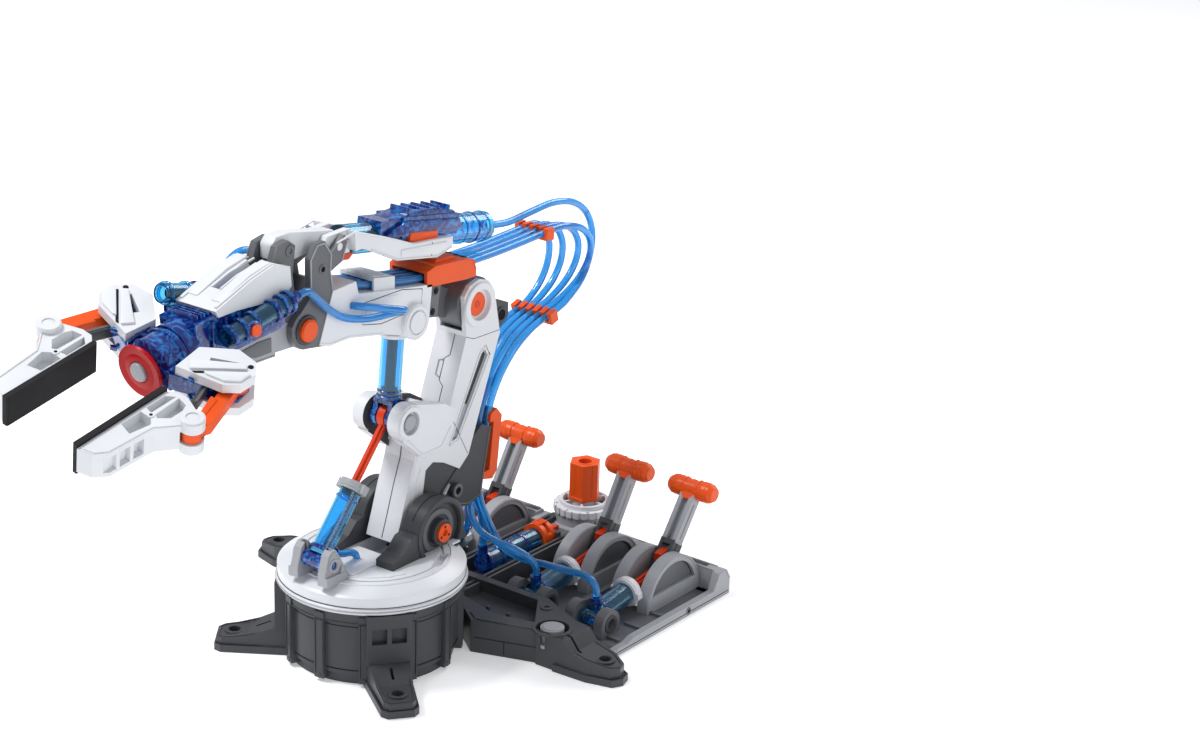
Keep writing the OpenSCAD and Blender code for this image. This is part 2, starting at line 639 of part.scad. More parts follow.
module forearm() {
  color(white) difference() {
    union() {
      slab([[32, 201], [29.5, 181], [22, 177], [12, 178], [-5, 183], [-32, 188], [-46, 187.6], [-54, 190],
        [-44, 216], [-27, 217], [-25, 210], [-8, 207]], -fore_half, fore_half);
      for (s = [-1, 1]) xpin(cap_pin, 9.6, s > 0 ? 9 : -15.6, s > 0 ? 15.6 : -9);
      // bridge over the hoses
      difference() {
        slab([[-12, 206], [4, 204], [4, 212], [-12, 214.6]], -11.6, 11.6);
        slab([[-14, 200], [6, 200], [6, 210.1], [-14, 213]], -10.2, 10.2);
      }
    }
    xpin(wrist, 11.2, -9.1, 9.1);
    // hollow underneath for the rod eye and the cylinder
    slab([[28, 197], [28, 170], [2, 170], [2, 180], [-6, 184], [-6, 199]], -7.4, 7.4);
    slab([[-10, 200], [-10, 180], [-34, 180], [-34, 200]], -9, 9);
  }
  color(pale) {
    xpin(cap_pin, pin_r - 0.2, -9, 9);
  }
  // gray end block behind the wrist
  color(mid) difference() {
    slab([[-44, 216], [-46, 221], [-50, 222], [-57, 200], [-57, 192], [-54, 190]], -9, 9);
    xpin(wrist, 11.2, -9.1, 9.1);
  }
}

module forearm_brackets() {
  wrist_cheeks();
  color(mid) difference() {
    union() {
      slab([[24, 196], [24, 183], [29.5, 180], [40, 179.5], [60, 172], [62, 188], [40, 200], [32, 201]],
        -7.2, -1.5);
      slab([[29, 183], [33, 182], [38.5, 181], [41, 198], [32, 201], [30, 201]], -7.2, 11);
      xpin(elbow, 14.8, -7.2, 7.2);
    }
    xpin([37, 196], 2.1, -3, 20);
    xpin([34.4, 185], 2.1, -3, 20);
    xpin(elbow, 3.5 + gap, -20, 20);
  }
}

module forearm_clip() color(orange) difference() {
  slab([[28, 200.2], [28, 208.6], [34, 210.5], [60, 208.4], [66, 206.6], [68, 201], [68, 197], [60, 197]],
    -13, 13);
  slab([[20, 201.5], [20, 207.2], [34, 207.2], [72, 206.1], [72, 201.2]], -11, 11);
}

module wrist_cheeks() color(mid) {
  difference() {
    both() difference() {
      union() {
        slab([[-46, 188], [-63, 190.5], [-72.5, 198], [-73, 204], [-60, 216], [-60, 236], [-55, 243],
          [-49, 243], [-44, 236], [-35, 243], [-32, 240], [-36, 230], [-46, 226], [-44, 216]], 9, 12.5);
        xpin(wrist, 10, 9, 12.5);
      }
      xpin(wrist, 3.4, 5, 15);
      xpin(cradle_pin, 2.1 + gap, 5, 14);
    }
  }
  difference() {
    slab([[-57, 194], [-50, 191], [-46, 200], [-46, 214], [-50, 222], [-55, 206]], -9, 9);
    xpin(wrist, 11.2, -9.1, 9.1);
  }
}

module wrist_axle() color(orange) {
  xpin(wrist, 3.4, -12.5, 12.5);
  for (s = [-1, 1]) xpin(wrist, 5.8, s > 0 ? 12.5 : -15, s > 0 ? 15 : -12.5);
}

// ---------------------------------------------------------------- wrist cylinder

cyl_tail = cradle_pin + [127, -127 * tan(9)];

module cradle() {
  color(white) difference() {
    union() {
      slab([[47, 224], [47, 218], [34.5, 215.4], [3, 221], [-17, 231], [-24, 233.5], [-34, 233],
        [-43, 233.5], [-43, 241], [-30, 244], [0, 233.5], [16, 227]], -14, 14);
    }
    slab([[60, 240], [60, 205], [34, 205], [3, 205], [-15, 228.5], [-28, 228.5], [-50, 228.5], [-50, 250]],
      -8.6, 8.6);
    for (s = [-1, 1]) slab([[-60, 220], [-29.6, 220], [-28, 232], [-29.6, 250], [-60, 250]],
      s > 0 ? 8.4 : -20, s > 0 ? 20 : -8.4);
  }
  // narrow front cheeks with the pivot pin
  color(white) both() difference() {
    slab([[-27, 231.4], [-45, 232.5], [-47, 238], [-43, 243], [-27, 243.6]], 4.6, 8.6);
    translate([4, 0, 0]) xpin(cradle_pin, 0.8, 0, 1);
  }
  color(navy) for (s = [-1, 1]) xpin(cradle_pin, 2.1, s > 0 ? 6 : -12.2, s > 0 ? 12.2 : -6);
  // barrel and dark cover
  color(blue) aim(cyl_tail, cradle_pin) difference() {
    union() {
      cylinder(r = 8, h = 116);
      translate([0, 0, -6]) cylinder(r = 3, h = 8);
    }
    translate([0, 0, 4]) cylinder(r = 4.6, h = 130);
  }
  color(navy) aim(cyl_tail, cradle_pin) translate([0, 0, 34]) difference() {
    union() {
      translate([-9.6, 0, 0]) cube([19.2, 11, 44]);
      translate([-8, 0, 44]) cube([16, 9.6, 16]);
    }
    translate([0, 0, -1]) cylinder(r = 8, h = 70);
  }
}

push_len = norm(push_pin - cradle_pin);

module pitch_rod() color(redrod) aim(cradle_pin, push_pin) difference() {
  union() {
    translate([0, 0, -60]) cylinder(r = 3, h = 60 + push_len - 4);
    translate([-2.6, 0, push_len]) rotate([0, 90, 0]) cylinder(r = 7, h = 5.2);
  }
  translate([-4, 0, push_len]) rotate([0, 90, 0]) cylinder(r = 5.2, h = 8);
}

// ---------------------------------------------------------------- wrist

module wrist_frame() {
  color(mid) {
    both() difference() {
      union() {
        slab([[-58, 193], [-68, 192], [-100, 193], [-116, 197], [-116, 201], [-98, 204], [-84, 211],
          [-83, 236], [-79, 246], [-71, 247.5], [-66, 244], [-68, 230], [-66, 212], [-56, 208]], 4.6, 8.5);
        xpin(wrist, 7, 4.6, 8.5);
      }
      xpin(wrist, 3.4 + gap, 2, 12);
    }
    xpin(push_pin, pin_r, -5, 5);
    slab([[-76, 194], [-84, 193.4], [-84, 208], [-76, 210]], -5, 5);
  }
  color(pale) both() slab([[-86, 193], [-100, 193], [-116, 197], [-116, 203], [-98, 206],
      [-86, 206]], 8.5, 13.5);
  color(navy) difference() {
    union() {
      difference() {
        slab([[-80, 209], [-76, 230], [-122, 224], [-138, 222], [-136, 206], [-117, 201],
            [-96, 203]], -12, 12);
        slab([[-100, 190], [-100, 216], [-137, 218], [-137, 190]], -7, 7);
      }
      translate(hand_c) rotate([hand_pitch, 0, 0])
          translate([0, 20, 1]) rotate([-90, 0, 0]) cylinder(r = 13, h = 8);
    }
    translate(hand_c) rotate([hand_pitch, 0, 0]) translate([0, 10, 0]) rotate([-90, 0, 0])
      cylinder(r = 5 + gap, h = 25);
  }
}

module wrist_cover() color(white) difference() {
  slab([[-75, 236.4], [-74, 226], [-80, 221.5], [-112, 223], [-124, 222.6], [-126, 226], [-100, 236],
    [-86, 239.6]], -13.5, 13.5);
  slab([[-72, 226], [-74, 224], [-118, 220], [-118, 223], [-98, 231], [-78, 232]], -11.5, 11.5);
  translate([-2.6, -112, 225]) cube([5.2, 30, 20]);
  slab([[-72, 246], [-88, 246], [-88, 240], [-84, 230], [-72, 220]], -8.8, 8.8);
}

// A barrel along -Y at X with its tail and nose heights.
module hand_cylinder(x, a, b) {
  translate([x, 0, 0]) aim(a, b) {
    color(blue) difference() {
      cylinder(r = 5, h = norm(b - a));
      translate([0, 0, 3]) cylinder(r = 3.6, h = norm(b - a));
    }
    color(navy) translate([0, 0, -5]) cylinder(r = 3, h = 5);
  }
}

module hand_cylinders() {
  hand_cylinder(17.2, [-79, 221], [-123, 213]);
  hand_cylinder(-18.6, [-106, 223.4], [-130, 229.2]);
  color(orange) xpin([-110, 215], 3, 13.5, 25);
}

// ---------------------------------------------------------------- hand

module hand_body() {
  hand_at() {
    color(navy) difference() {
      union() {
        translate([0, 19.6, 0]) rotate([90, 0, 0]) cylinder(r = 13, h = 13);
        linear_extrude(9, center = true) polygon([[-20, 19], [-30, 33], [-41, 30], [-43, 20], [-38, 14],
          [-14, 4], [14, 4], [38, 14], [43, 20], [41, 30], [30, 33], [20, 19]]);
      }
      both() {
        // slots for the link roots
        translate([link_pin[0], link_pin[1], -3.2]) cylinder(r = 9, h = 6.4);
        translate([link_pin[0] - 5, link_pin[1] - 30, -3.2]) cube([30, 30, 6.4]);
        translate([link_pin[0], link_pin[1], -20]) cylinder(r = 2.4, h = 40);
      }
    }
    color(navy) translate([0, 34, 0]) rotate([90, 0, 0]) cylinder(r = 5, h = 16);
    color(navy) both() translate([link_pin[0], link_pin[1], -4.5]) cylinder(r = 2.4, h = 9);
  }
}

module hand_covers() color(white) hand_at() both() for (s = [-1, 1]) difference() {
  translate([0, 0, s > 0 ? 4.5 : -9.5]) linear_extrude(5) polygon([[16, 6], [40, 12], [46, 18], [46, 28],
    [40, 35], [28, 36], [14, 24]]);
  translate([30, 24, s > 0 ? 7.5 : -11]) rotate(30) cube([14, 4, 7], center = true);
}

module suction_cup() hand_at() {
  color(redrod) rotate([90, 0, 0]) rotate_extrude($fn = 72) polygon([[0, -6.6], [6, -6.6], [9, -3], [13.6, 0],
    [13.2, 1.2], [6, 0.4], [0, 0.4]]);
  color(pale) rotate([90, 0, 0]) cylinder(r = 5, h = 1.6);
}

module link_shape() difference() {
  union() {
    translate([link_pin[0], link_pin[1], -3]) cylinder(r = 6, h = 6);
    translate([0, 0, -3]) linear_extrude(6) polygon([[link_pin[0] - 3.5, link_pin[1]],
      [link_pin[0] + 4, link_pin[1]], [jaw_pin[0] + 4.4, jaw_pin[1] + 8], [jaw_pin[0] + 2, jaw_pin[1] + 1],
      [jaw_pin[0] - 4, jaw_pin[1] + 1], [jaw_pin[0] - 3.5, jaw_pin[1] + 12]]);
    translate([jaw_pin[0], jaw_pin[1], -3]) cylinder(r = 5, h = 6);
  }
  translate([link_pin[0], link_pin[1], -9]) cylinder(r = 2.4 + gap, h = 18);
  translate([jaw_pin[0], jaw_pin[1], -9]) cylinder(r = 2.2 + gap, h = 18);
}

module link_right() color(orange) hand_at() link_shape();
module link_left() color(orange) hand_at() mirror([1, 0, 0]) link_shape();

module jaw_shape() {
  difference() {
    union() {
      translate([0, 0, -7]) linear_extrude(14) polygon([[jaw_open + 3, -8], [jaw_open + 3, -64],
        [31, -62], [36, -56], [38, -30], [45, -20], [50, -14], [46, -9], [34, -4], [28, -4]]);
      translate([jaw_pin[0], jaw_pin[1], -9]) cylinder(r = 6, h = 18);
    }
    // pockets with a cross rib, from both faces
    for (s = [-1, 1]) translate([0, 0, s > 0 ? 1.2 : -9.2]) linear_extrude(8) {
      polygon([[jaw_open + 4.8, -10.5], [jaw_open + 4.8, -22.4], [29.2, -23.2], [29.4, -7.4]]);
      polygon([[31, -7], [36.5, -8.2], [38, -12], [38, -19.6], [33.6, -24], [31.4, -22.6]]);
      polygon([[jaw_open + 4.8, -26], [jaw_open + 4.8, -38.4], [32.6, -40.4], [34.8, -29], [31.6, -26]]);
    }
    for (s = [-1, 1]) translate([30.4, -24.6, s > 0 ? 4 : -8]) cylinder(r = 0.8, h = 4);
    // outer side windows
    for (k = [0:2]) translate([34.2, -58 + k * 8, -4.5]) cube([6, 6, 9]);
    // fork for the link
    translate([jaw_pin[0] - 7.5, jaw_pin[1] - 6.4, -3.3]) cube([20, 30, 6.6]);
  }
  translate([jaw_pin[0], jaw_pin[1], -8]) cylinder(r = 2.2, h = 16);
}

module jaw_right() color(white) hand_at() jaw_shape();
module jaw_left() color(white) hand_at() mirror([1, 0, 0]) jaw_shape();

module pad_shape() translate([0, 0, -8.5]) linear_extrude(17) polygon([[jaw_open, -8], [jaw_open, -63.4],
  [jaw_open + 0.6, -64], [jaw_open + 3, -64], [jaw_open + 3, -7], [jaw_open + 1, -7]]);

module pad_right() color(black) hand_at() pad_shape();
module pad_left() color(black) hand_at() mirror([1, 0, 0]) pad_shape();

// ---------------------------------------------------------------- hoses

function unit(v) = v / max(norm(v), 0.0001);
function dir_at(p, i) = unit(p[min(i + 1, len(p) - 1)] - p[max(i - 1, 0)]);
function side_at(d) = unit(abs(d[2]) > 0.92 ? cross(d, [0, 1, 0]) : cross(d, [0, 0, 1]));

// A round tube swept through hand-set points.
module tube(p, r = hose_r, n = 8) {
  pts = [for (i = [0:len(p) - 1]) let (d = dir_at(p, i), s = side_at(d), u = cross(s, d))
    for (k = [0:n - 1]) p[i] + r * (cos(360 * k / n) * s + sin(360 * k / n) * u)];
  faces = concat([[for (k = [0:n - 1]) k]],
    [[for (k = [0:n - 1]) (len(p) - 1) * n + n - 1 - k]],
    [for (i = [0:len(p) - 2]) for (k = [0:n - 1])
      [i * n + k, (i + 1) * n + k, (i + 1) * n + (k + 1) % n, i * n + (k + 1) % n]]);
  polyhedron(points = pts, faces = faces, convexity = 6);
}

// Catmull-Rom points through a hand-set route, m steps between points.
function smooth(p, m = 3) = concat([for (i = [0:len(p) - 2]) for (k = [0:m - 1]) let (t = k / m,
  a = p[max(i - 1, 0)], b = p[i], c = p[i + 1], d = p[min(i + 2, len(p) - 1)])
  0.5 * ((2 * b) + (c - a) * t + (2 * a - 5 * b + 4 * c - d) * t * t + (3 * b - a - 3 * c + d) * t * t * t)],
  [p[len(p) - 1]]);

function turned(p, s) = [for (q = p) [q[0] * s, q[1], q[2]]];

module hoses_riser() color(blue) {
  for (s = [-1, 1]) {
    tube(smooth(turned(riser_outer, s)));
    tube(smooth(turned(riser_inner, s)));
  }
  tube(smooth(riser_mid));
}

// From the channel under the arm up to the lower comb, k counts across.
function climb(k) = let (x0 = riser_x[k][0], dy = riser_x[k][1], xc = 5 * (k - 2))
  [for (q = climb_route) [x0 + (xc - x0) * q[2], q[0] + dy * (1 - q[2]), q[1]]];

// From the lower comb round to the upper comb.
function round_back(k) = [for (q = loop_route)
  [5 * (k - 2) + 2.5 * q[2], 136 + (q[0] - 136) * (q[0] > 136 ? loop_size[k] : 1), q[1]]];

module hoses_loop() color(blue) {
  for (k = [0:3]) tube(smooth(concat(climb(k), round_back(k))));
  tube(smooth(climb(4)));
}

module hose_cradle() color(blue) tube(smooth(cradle_route));

module hoses_forearm() color(blue) for (k = [0:3])
  tube(smooth([for (q = forearm_route) [5 * (k - 1.5), q[0], q[1]]]));

module hoses_wrist() color(blue) {
  tube(smooth(wrist_right_route));
  tube(smooth(wrist_left_route));
}

module hose_lift() color(blue) tube(smooth(lift_route));

base_drum();
bottom_cover();
link_frame();
console_tray();
console_border();
centre_channel();
knob_tower();
lever_fenders();
master_barrels();
base_barrel();
base_rod();
base_clip();
knob();
dial();
rod_a();
rod_b();
rod_c();
rod_d();
lever_a();
lever_b();
lever_c();
lever_d();
turntable();
table_ring();
brackets();
clevis_ears();
shoulder_axle();
lift_barrel();
lift_rod();
column();
column_core();
boss_pin();
elbow_axle();
hose_combs();
bend_barrel();
bend_rod();
forearm();
forearm_brackets();
forearm_clip();
wrist_axle();
cradle();
pitch_rod();
wrist_frame();
wrist_cover();
hand_cylinders();
hand_body();
hand_covers();
suction_cup();
link_right();
link_left();
jaw_right();
jaw_left();
pad_right();
pad_left();
hoses_riser();
hoses_loop();
hose_cradle();
hoses_forearm();
hoses_wrist();
hose_lift();
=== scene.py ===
import json
import math

import bmesh
import bpy
from mathutils import Euler, Matrix, Vector


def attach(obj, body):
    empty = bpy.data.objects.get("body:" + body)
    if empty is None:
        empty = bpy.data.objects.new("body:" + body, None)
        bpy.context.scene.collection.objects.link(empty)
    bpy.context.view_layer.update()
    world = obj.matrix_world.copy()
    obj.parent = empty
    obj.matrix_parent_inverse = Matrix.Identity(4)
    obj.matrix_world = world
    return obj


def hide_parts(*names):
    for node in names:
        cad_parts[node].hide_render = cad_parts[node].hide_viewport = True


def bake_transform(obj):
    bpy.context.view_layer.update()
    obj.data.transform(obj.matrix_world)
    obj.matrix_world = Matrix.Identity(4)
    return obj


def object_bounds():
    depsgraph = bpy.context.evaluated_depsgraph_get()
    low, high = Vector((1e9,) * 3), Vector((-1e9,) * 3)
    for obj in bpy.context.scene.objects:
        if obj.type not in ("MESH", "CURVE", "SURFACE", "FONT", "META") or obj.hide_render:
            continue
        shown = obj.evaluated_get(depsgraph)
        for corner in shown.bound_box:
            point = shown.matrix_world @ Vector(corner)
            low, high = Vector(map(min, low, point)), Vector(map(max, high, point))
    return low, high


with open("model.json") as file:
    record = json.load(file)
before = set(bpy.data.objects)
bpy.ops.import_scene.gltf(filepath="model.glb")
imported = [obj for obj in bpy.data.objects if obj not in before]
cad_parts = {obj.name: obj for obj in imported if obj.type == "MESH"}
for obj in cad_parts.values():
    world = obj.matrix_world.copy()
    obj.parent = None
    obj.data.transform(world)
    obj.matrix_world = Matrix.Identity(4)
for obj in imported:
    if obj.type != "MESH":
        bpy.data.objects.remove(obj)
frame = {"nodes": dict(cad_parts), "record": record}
CAD_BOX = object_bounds()
NODES = frame["nodes"]

MM = 0.001
HOSE_R = 2.0 * MM

# Pin centres in the YZ plane, in millimetres.
SHOULDER = (27.0, 66.0)
BOSS = (12.0, 130.0)
ELBOW = (73.9, 178.8)
CAP_PIN = (17.2, 184.6)
WRIST = (-63.0, 200.5)
CRADLE_PIN = (-38.0, 237.5)
PUSH_PIN = (-70.0, 242.0)
TAIL_PIN = (-43.0, 66.0)
CYL_TAIL = (89.0, 217.4)
LEVER_PIVOT = (144.0, 7.0)
MASTER_FROM = (88.0, 11.0)
CRANK_AT = (153.5, 20.0)
LEVER_X = (-82.0, -40.0, 40.0, 82.0)
LEVER_LEAN = (36.0, 32.0, 32.0, 36.0)
BASE_CYL_TAIL = (96, 17)
BASE_CYL_END = (150, 17)
RIGHT_CYL_TAIL = (-79, 221)
RIGHT_CYL_END = (-123, 213)
LEFT_CYL_TAIL = (-106, 223.4)
LEFT_CYL_END = (-130, 229.2)
FENDER = (147, 6)
KNOB_Y = 188

# Distances in millimetres from the middle plane to the outer faces that carry details.
COLUMN_SIDE = 10.5
CHEEK_SIDE = 12.5
FOREARM_SIDE = 13
CRADLE_SIDE = 14
BORDER_SIDE = 108
DECK_Z = 56
RIGHT_CYL_X = 17.2
LEFT_CYL_X = -18.6
JAW_PIVOT_X = 46

HAND_AT = Vector((0.0, -162.0, 203.0))
HAND_TURN = Euler((math.radians(12), 0, 0)).to_matrix() @ Euler((0, math.radians(17), 0)).to_matrix()


def mm(*p):
    """A point given in millimetres, in metres."""
    return Vector(p) * MM


def hand(x, y, z):
    """A point on the hand's own axes, in millimetres, in the row frame in metres."""
    return (HAND_AT + HAND_TURN @ Vector((x, y, z))) * MM


# ---------------------------------------------------------------- camera

cam_data = bpy.data.cameras.new("Camera")
cam_data.lens = 77.86
cam_data.sensor_width = 36
cam = bpy.data.objects.new("Camera", cam_data)
cam.location = (0.8424, -0.9490, 0.6258)
cam.rotation_euler = Euler([math.radians(a) for a in (69.909, -1.815, 36.92)])
bpy.context.collection.objects.link(cam)
bpy.context.scene.camera = cam


# ---------------------------------------------------------------- materials


def put(node, values):
    """Sets a node's inputs by name."""
    for key, value in values.items():
        node.inputs[key].default_value = value
    return node


def shader(name, colour, rough=0.4, vary=0.06, grain=0.35, clear=0.0, coat=0.0, edge=0.12, round_mm=0.35,
           ribs=0, shine=0.5):
    """Moulded plastic: slow colour drift, fine surface grain, softened edges with a painted highlight along
    them.
    """
    m = bpy.data.materials.new(name)
    m.use_nodes = True
    n, link = m.node_tree.nodes, m.node_tree.links

    def noise(values):
        node = put(n.new("ShaderNodeTexNoise"), values)
        link.new(where.outputs["Object"], node.inputs["Vector"])
        return node.outputs["Fac"]

    def remap(source, from_min, from_max, to_min=0.0, to_max=1.0):
        node = n.new("ShaderNodeMapRange")
        put(node, {"From Min": from_min, "From Max": from_max, "To Min": to_min, "To Max": to_max})
        link.new(source, node.inputs["Value"])
        return node.outputs["Result"]

    def mix(first, **second):
        node = n.new("ShaderNodeMix")
        node.data_type = "RGBA"
        put(node, second)
        if isinstance(first, tuple):
            put(node, {"A": first})
        else:
            link.new(first, node.inputs["A"])
        return node

    bsdf = put(n["Principled BSDF"], {
        "Metallic": 0.0, "IOR": 1.49, "Specular IOR Level": shine, "Coat Weight": coat, "Coat Roughness": 0.12,
        "Transmission Weight": clear,
    })
    where = n.new("ShaderNodeTexCoord")
    drift = noise({"Scale": 38.0, "Detail": 3.0})
    tint = mix((*colour, 1), Factor=1.0)
    tint.blend_type = "MULTIPLY"
    link.new(remap(drift, 0.3, 0.7, 1.0 - vary, 1.0 + vary * 0.5), tint.inputs["B"])
    if ribs:
        # brighter blue patches: the ribs and pockets seen through the clear plastic, and painted highlights
        # where light comes through them
        inner = mix(tint.outputs["Result"], B=(0.02, 0.22, 0.66, 1))
        inside = noise({"Scale": ribs, "Detail": 4.0, "Distortion": 2.2})
        link.new(remap(inside, 0.46, 0.64), inner.inputs["Factor"])
        tint = inner
    # roughness drifts with handling
    link.new(remap(drift, 0.25, 0.75, rough * 0.82, rough * 1.2), bsdf.inputs["Roughness"])
    if clear:
        link.new(tint.outputs["Result"], bsdf.inputs["Base Color"])
        return m
    # painted highlight: a lighter line along every edge, where the softened normal turns away
    soft = put(n.new("ShaderNodeBevel"), {"Radius": round_mm * MM})
    soft.samples = 4
    dot = n.new("ShaderNodeVectorMath")
    dot.operation = "DOT_PRODUCT"
    link.new(soft.outputs["Normal"], dot.inputs[0])
    link.new(n.new("ShaderNodeNewGeometry").outputs["Normal"], dot.inputs[1])
    # painted highlight colour: the base colour lightened, mixed in near the edges
    edge_highlight = mix(tint.outputs["Result"], B=(*[min(1.0, c * 1.6 + 0.12) for c in colour], 1))
    link.new(remap(dot.outputs["Value"], 0.99, 0.75, 0.0, edge), edge_highlight.inputs["Factor"])
    link.new(edge_highlight.outputs["Result"], bsdf.inputs["Base Color"])
    bump = put(n.new("ShaderNodeBump"), {"Strength": grain, "Distance": 0.00004})
    link.new(noise({"Scale": 2600.0, "Detail": 2.0}), bump.inputs["Height"])
    link.new(soft.outputs["Normal"], bump.inputs["Normal"])
    link.new(bump.outputs["Normal"], bsdf.inputs["Normal"])
    return m


M = {
    "white": shader("white_plastic", (0.70, 0.715, 0.74), 0.36, vary=0.04, coat=0.1, edge=0.3),
    "pale": shader("gray_pale_plastic", (0.34, 0.35, 0.37), 0.4, vary=0.05, edge=0.25),
    "mid": shader("gray_mid_plastic", (0.12, 0.125, 0.135), 0.4, edge=0.25, shine=0.4),
    "dark": shader("gray_dark_plastic", (0.05, 0.052, 0.058), 0.4, edge=0.25, shine=0.35),
    "orange": shader("orange_plastic", (0.80, 0.085, 0.004), 0.38, coat=0.06, shine=0.3),
    "red": shader("red_plastic", (0.46, 0.004, 0.006), 0.3, edge=0.05, shine=0.15),
    "rod": shader("rod_plastic", (0.66, 0.04, 0.005), 0.36, coat=0.06, shine=0.3),
    "blue": shader("blue_clear_plastic", (0.10, 0.56, 0.92), 0.07, clear=0.95, coat=0.3),
    # navy's ribs pattern is partly painted highlight: bright patches of light coming through its ribs
    "navy": shader("navy_clear_plastic", (0.004, 0.018, 0.22), 0.12, clear=0.3, coat=0.5, ribs=170),
    "hose": shader("hose_vinyl", (0.03, 0.36, 0.86), 0.12, clear=0.62, coat=0.4),
    "rubber": shader("rubber_black", (0.012, 0.012, 0.013), 0.6, grain=0.8, edge=0.12, shine=0.2),
    "hole": shader("shadowed_hole", (0.008, 0.008, 0.01), 0.8, edge=0.02, shine=0.2),
}
SLOTS = {
    "white_plastic": "white",
    "gray_pale_plastic": "pale",
    "gray_mid_plastic": "mid",
    "gray_dark_plastic": "dark",
    "orange_plastic": "orange",
    "red_plastic": "red",
    "blue_clear_plastic": "blue",
    "navy_clear_plastic": "navy",
    "rubber_black": "rubber",
}
SLOT_OF = {v: k for k, v in SLOTS.items()}
SLOT_OF.update(hose="blue_clear_plastic", rod="red_plastic", hole="gray_dark_plastic")


# ---------------------------------------------------------------- shapes


def add_mesh(name, bm, look, smooth_deg=34):
    """Turns bmesh geometry into an object with one material and smooth shading up to an angle."""
    bmesh.ops.recalc_face_normals(bm, faces=bm.faces)
    for f in bm.faces:
        f.smooth = True
    for e in bm.edges:
        e.smooth = len(e.link_faces) == 2 and e.calc_face_angle(0) < math.radians(smooth_deg)
    mesh = bpy.data.meshes.new(name)
    bm.to_mesh(mesh)
    bm.free()
    mesh.materials.append(M[look])
    obj = bpy.data.objects.new(name, mesh)
    bpy.context.collection.objects.link(obj)
    return obj


def bevel(bm, width):
    """Rounds every edge sharper than 30 degrees."""
    sharp = [e for e in bm.edges if len(e.link_faces) == 2 and e.calc_face_angle(0) > math.radians(30)]
    bmesh.ops.bevel(bm, geom=sharp, offset=width, segments=2, profile=0.6, affect="EDGES", clamp_overlap=True)


def prism(name, outline, lo, hi, look, body, place=None, round_mm=0.3):
    """A plate: an outline of (a, b) millimetres, from lo to hi along the third axis.

    place maps (a, b, t) to the row frame."""
    bm = bmesh.new()
    place = place or (lambda a, b, t: mm(t, a, b))
    low = [bm.verts.new(place(a, b, lo)) for a, b in outline]
    high = [bm.verts.new(place(a, b, hi)) for a, b in outline]
    bm.faces.new(low)
    bm.faces.new(high[::-1])
    for i in range(len(outline)):
        j = (i + 1) % len(outline)
        bm.faces.new((low[j], low[i], high[i], high[j]))
    bmesh.ops.recalc_face_normals(bm, faces=bm.faces)
    if round_mm:
        bevel(bm, round_mm * MM)
    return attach(add_mesh(name, bm, look), body)


def turned(name, profile, at, axis, look, body, sides=40, spin=0.0):
    """A turned piece: (radius, height) millimetres along axis from the point at, in the row frame in metres."""
    bm = bmesh.new()
    aim = Vector(axis).to_track_quat("Z", "Y").to_matrix().to_4x4()
    place = Matrix.Translation(at) @ aim @ Matrix.Rotation(spin, 4, "Z")
    rings = []
    for r, h in profile:
        if r < 1e-6:
            rings.append([bm.verts.new(place @ mm(0, 0, h))])
            continue
        ring = []
        for k in range(sides):
            a = 2 * math.pi * k / sides
            ring.append(bm.verts.new(place @ mm(r * math.cos(a), r * math.sin(a), h)))
        rings.append(ring)
    for a, b in zip(rings, rings[1:]):
        for k in range(sides):
            j = (k + 1) % sides
            corners = [a[k % len(a)], a[j % len(a)], b[j % len(b)], b[k % len(b)]]
            face = []
            for v in corners:
                if v not in face:
                    face.append(v)
            if len(face) > 2:
                bm.faces.new(face)
    for end in (rings[0], rings[-1]):
        if len(end) > 2 and profile[0] != profile[-1]:
            bm.faces.new(end)
    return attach(add_mesh(name, bm, look), body)


def catmull(points, steps=6):
    """A smooth line through given points."""
    out = []
    p = [Vector(q) for q in points]
    for i in range(len(p) - 1):
        a, b, c, d = p[max(i - 1, 0)], p[i], p[i + 1], p[min(i + 2, len(p) - 1)]
        for k in range(steps):
            t = k / steps
            out.append(
                0.5
                * (
                    2 * b
                    + (c - a) * t
                    + (2 * a - 5 * b + 4 * c - d) * t * t
                    + (3 * b - a - 3 * c + d) * t * t * t
                )
            )
    out.append(p[-1])
    return out


def hose_tube(name, path, radius=HOSE_R, sides=14, look="hose"):
    """A round hose or bead along a line in the row frame, with closed ends."""
    bm = bmesh.new()
    rings, side = [], None
    for i, p in enumerate(path):
        d = (path[min(i + 1, len(path) - 1)] - path[max(i - 1, 0)]).normalized()
        if side is None:
            side = d.cross(Vector((1, 0, 0)) if abs(d.x) < 0.8 else Vector((0, 1, 0)))
        side = (side - d * side.dot(d)).normalized()
        up = d.cross(side)
        ring = []
        for k in range(sides):
            a = 2 * math.pi * k / sides
            ring.append(bm.verts.new(p + (side * math.cos(a) + up * math.sin(a)) * radius))
        rings.append(ring)
    for a, b in zip(rings, rings[1:]):
        for k in range(sides):
            j = (k + 1) % sides
            bm.faces.new((a[k], a[j], b[j], b[k]))
    bm.faces.new(rings[0][::-1])
    bm.faces.new(rings[-1])
    return add_mesh(name, bm, look, 60)


# ---------------------------------------------------------------- hoses

# Routes in millimetres, as in the CAD source.
RISER_OUTER = [(82, 91.5, 23), (81.8, 91.3, 27), (78.5, 91.5, 31), (71, 92.5, 32), (58, 94.5, 30),
               (42, 97.5, 27.5), (26, 97, 26.5), (15.5, 94.5, 30), (10, 92, 38), (6.8, 89, 48),
               (5, 85.6, 57.5), (4.4, 83.6, 65)]
RISER_INNER = [(40, 91.5, 23), (39.8, 91, 28), (36.5, 88.5, 33.5), (29, 84.5, 38), (20, 80.5, 41),
               (11.5, 77.5, 45.5), (5.8, 77, 52), (3.2, 78, 59), (2.3, 78.8, 65)]
RISER_MID = [(0, 94, 29), (0, 94, 34), (0, 93, 42), (0, 90, 51), (0, 86, 59), (0, 83.6, 65)]
RISER_X = [(-4.4, 0), (-2.3, -4.4), (0, 0), (2.3, -4.4), (4.4, 0)]
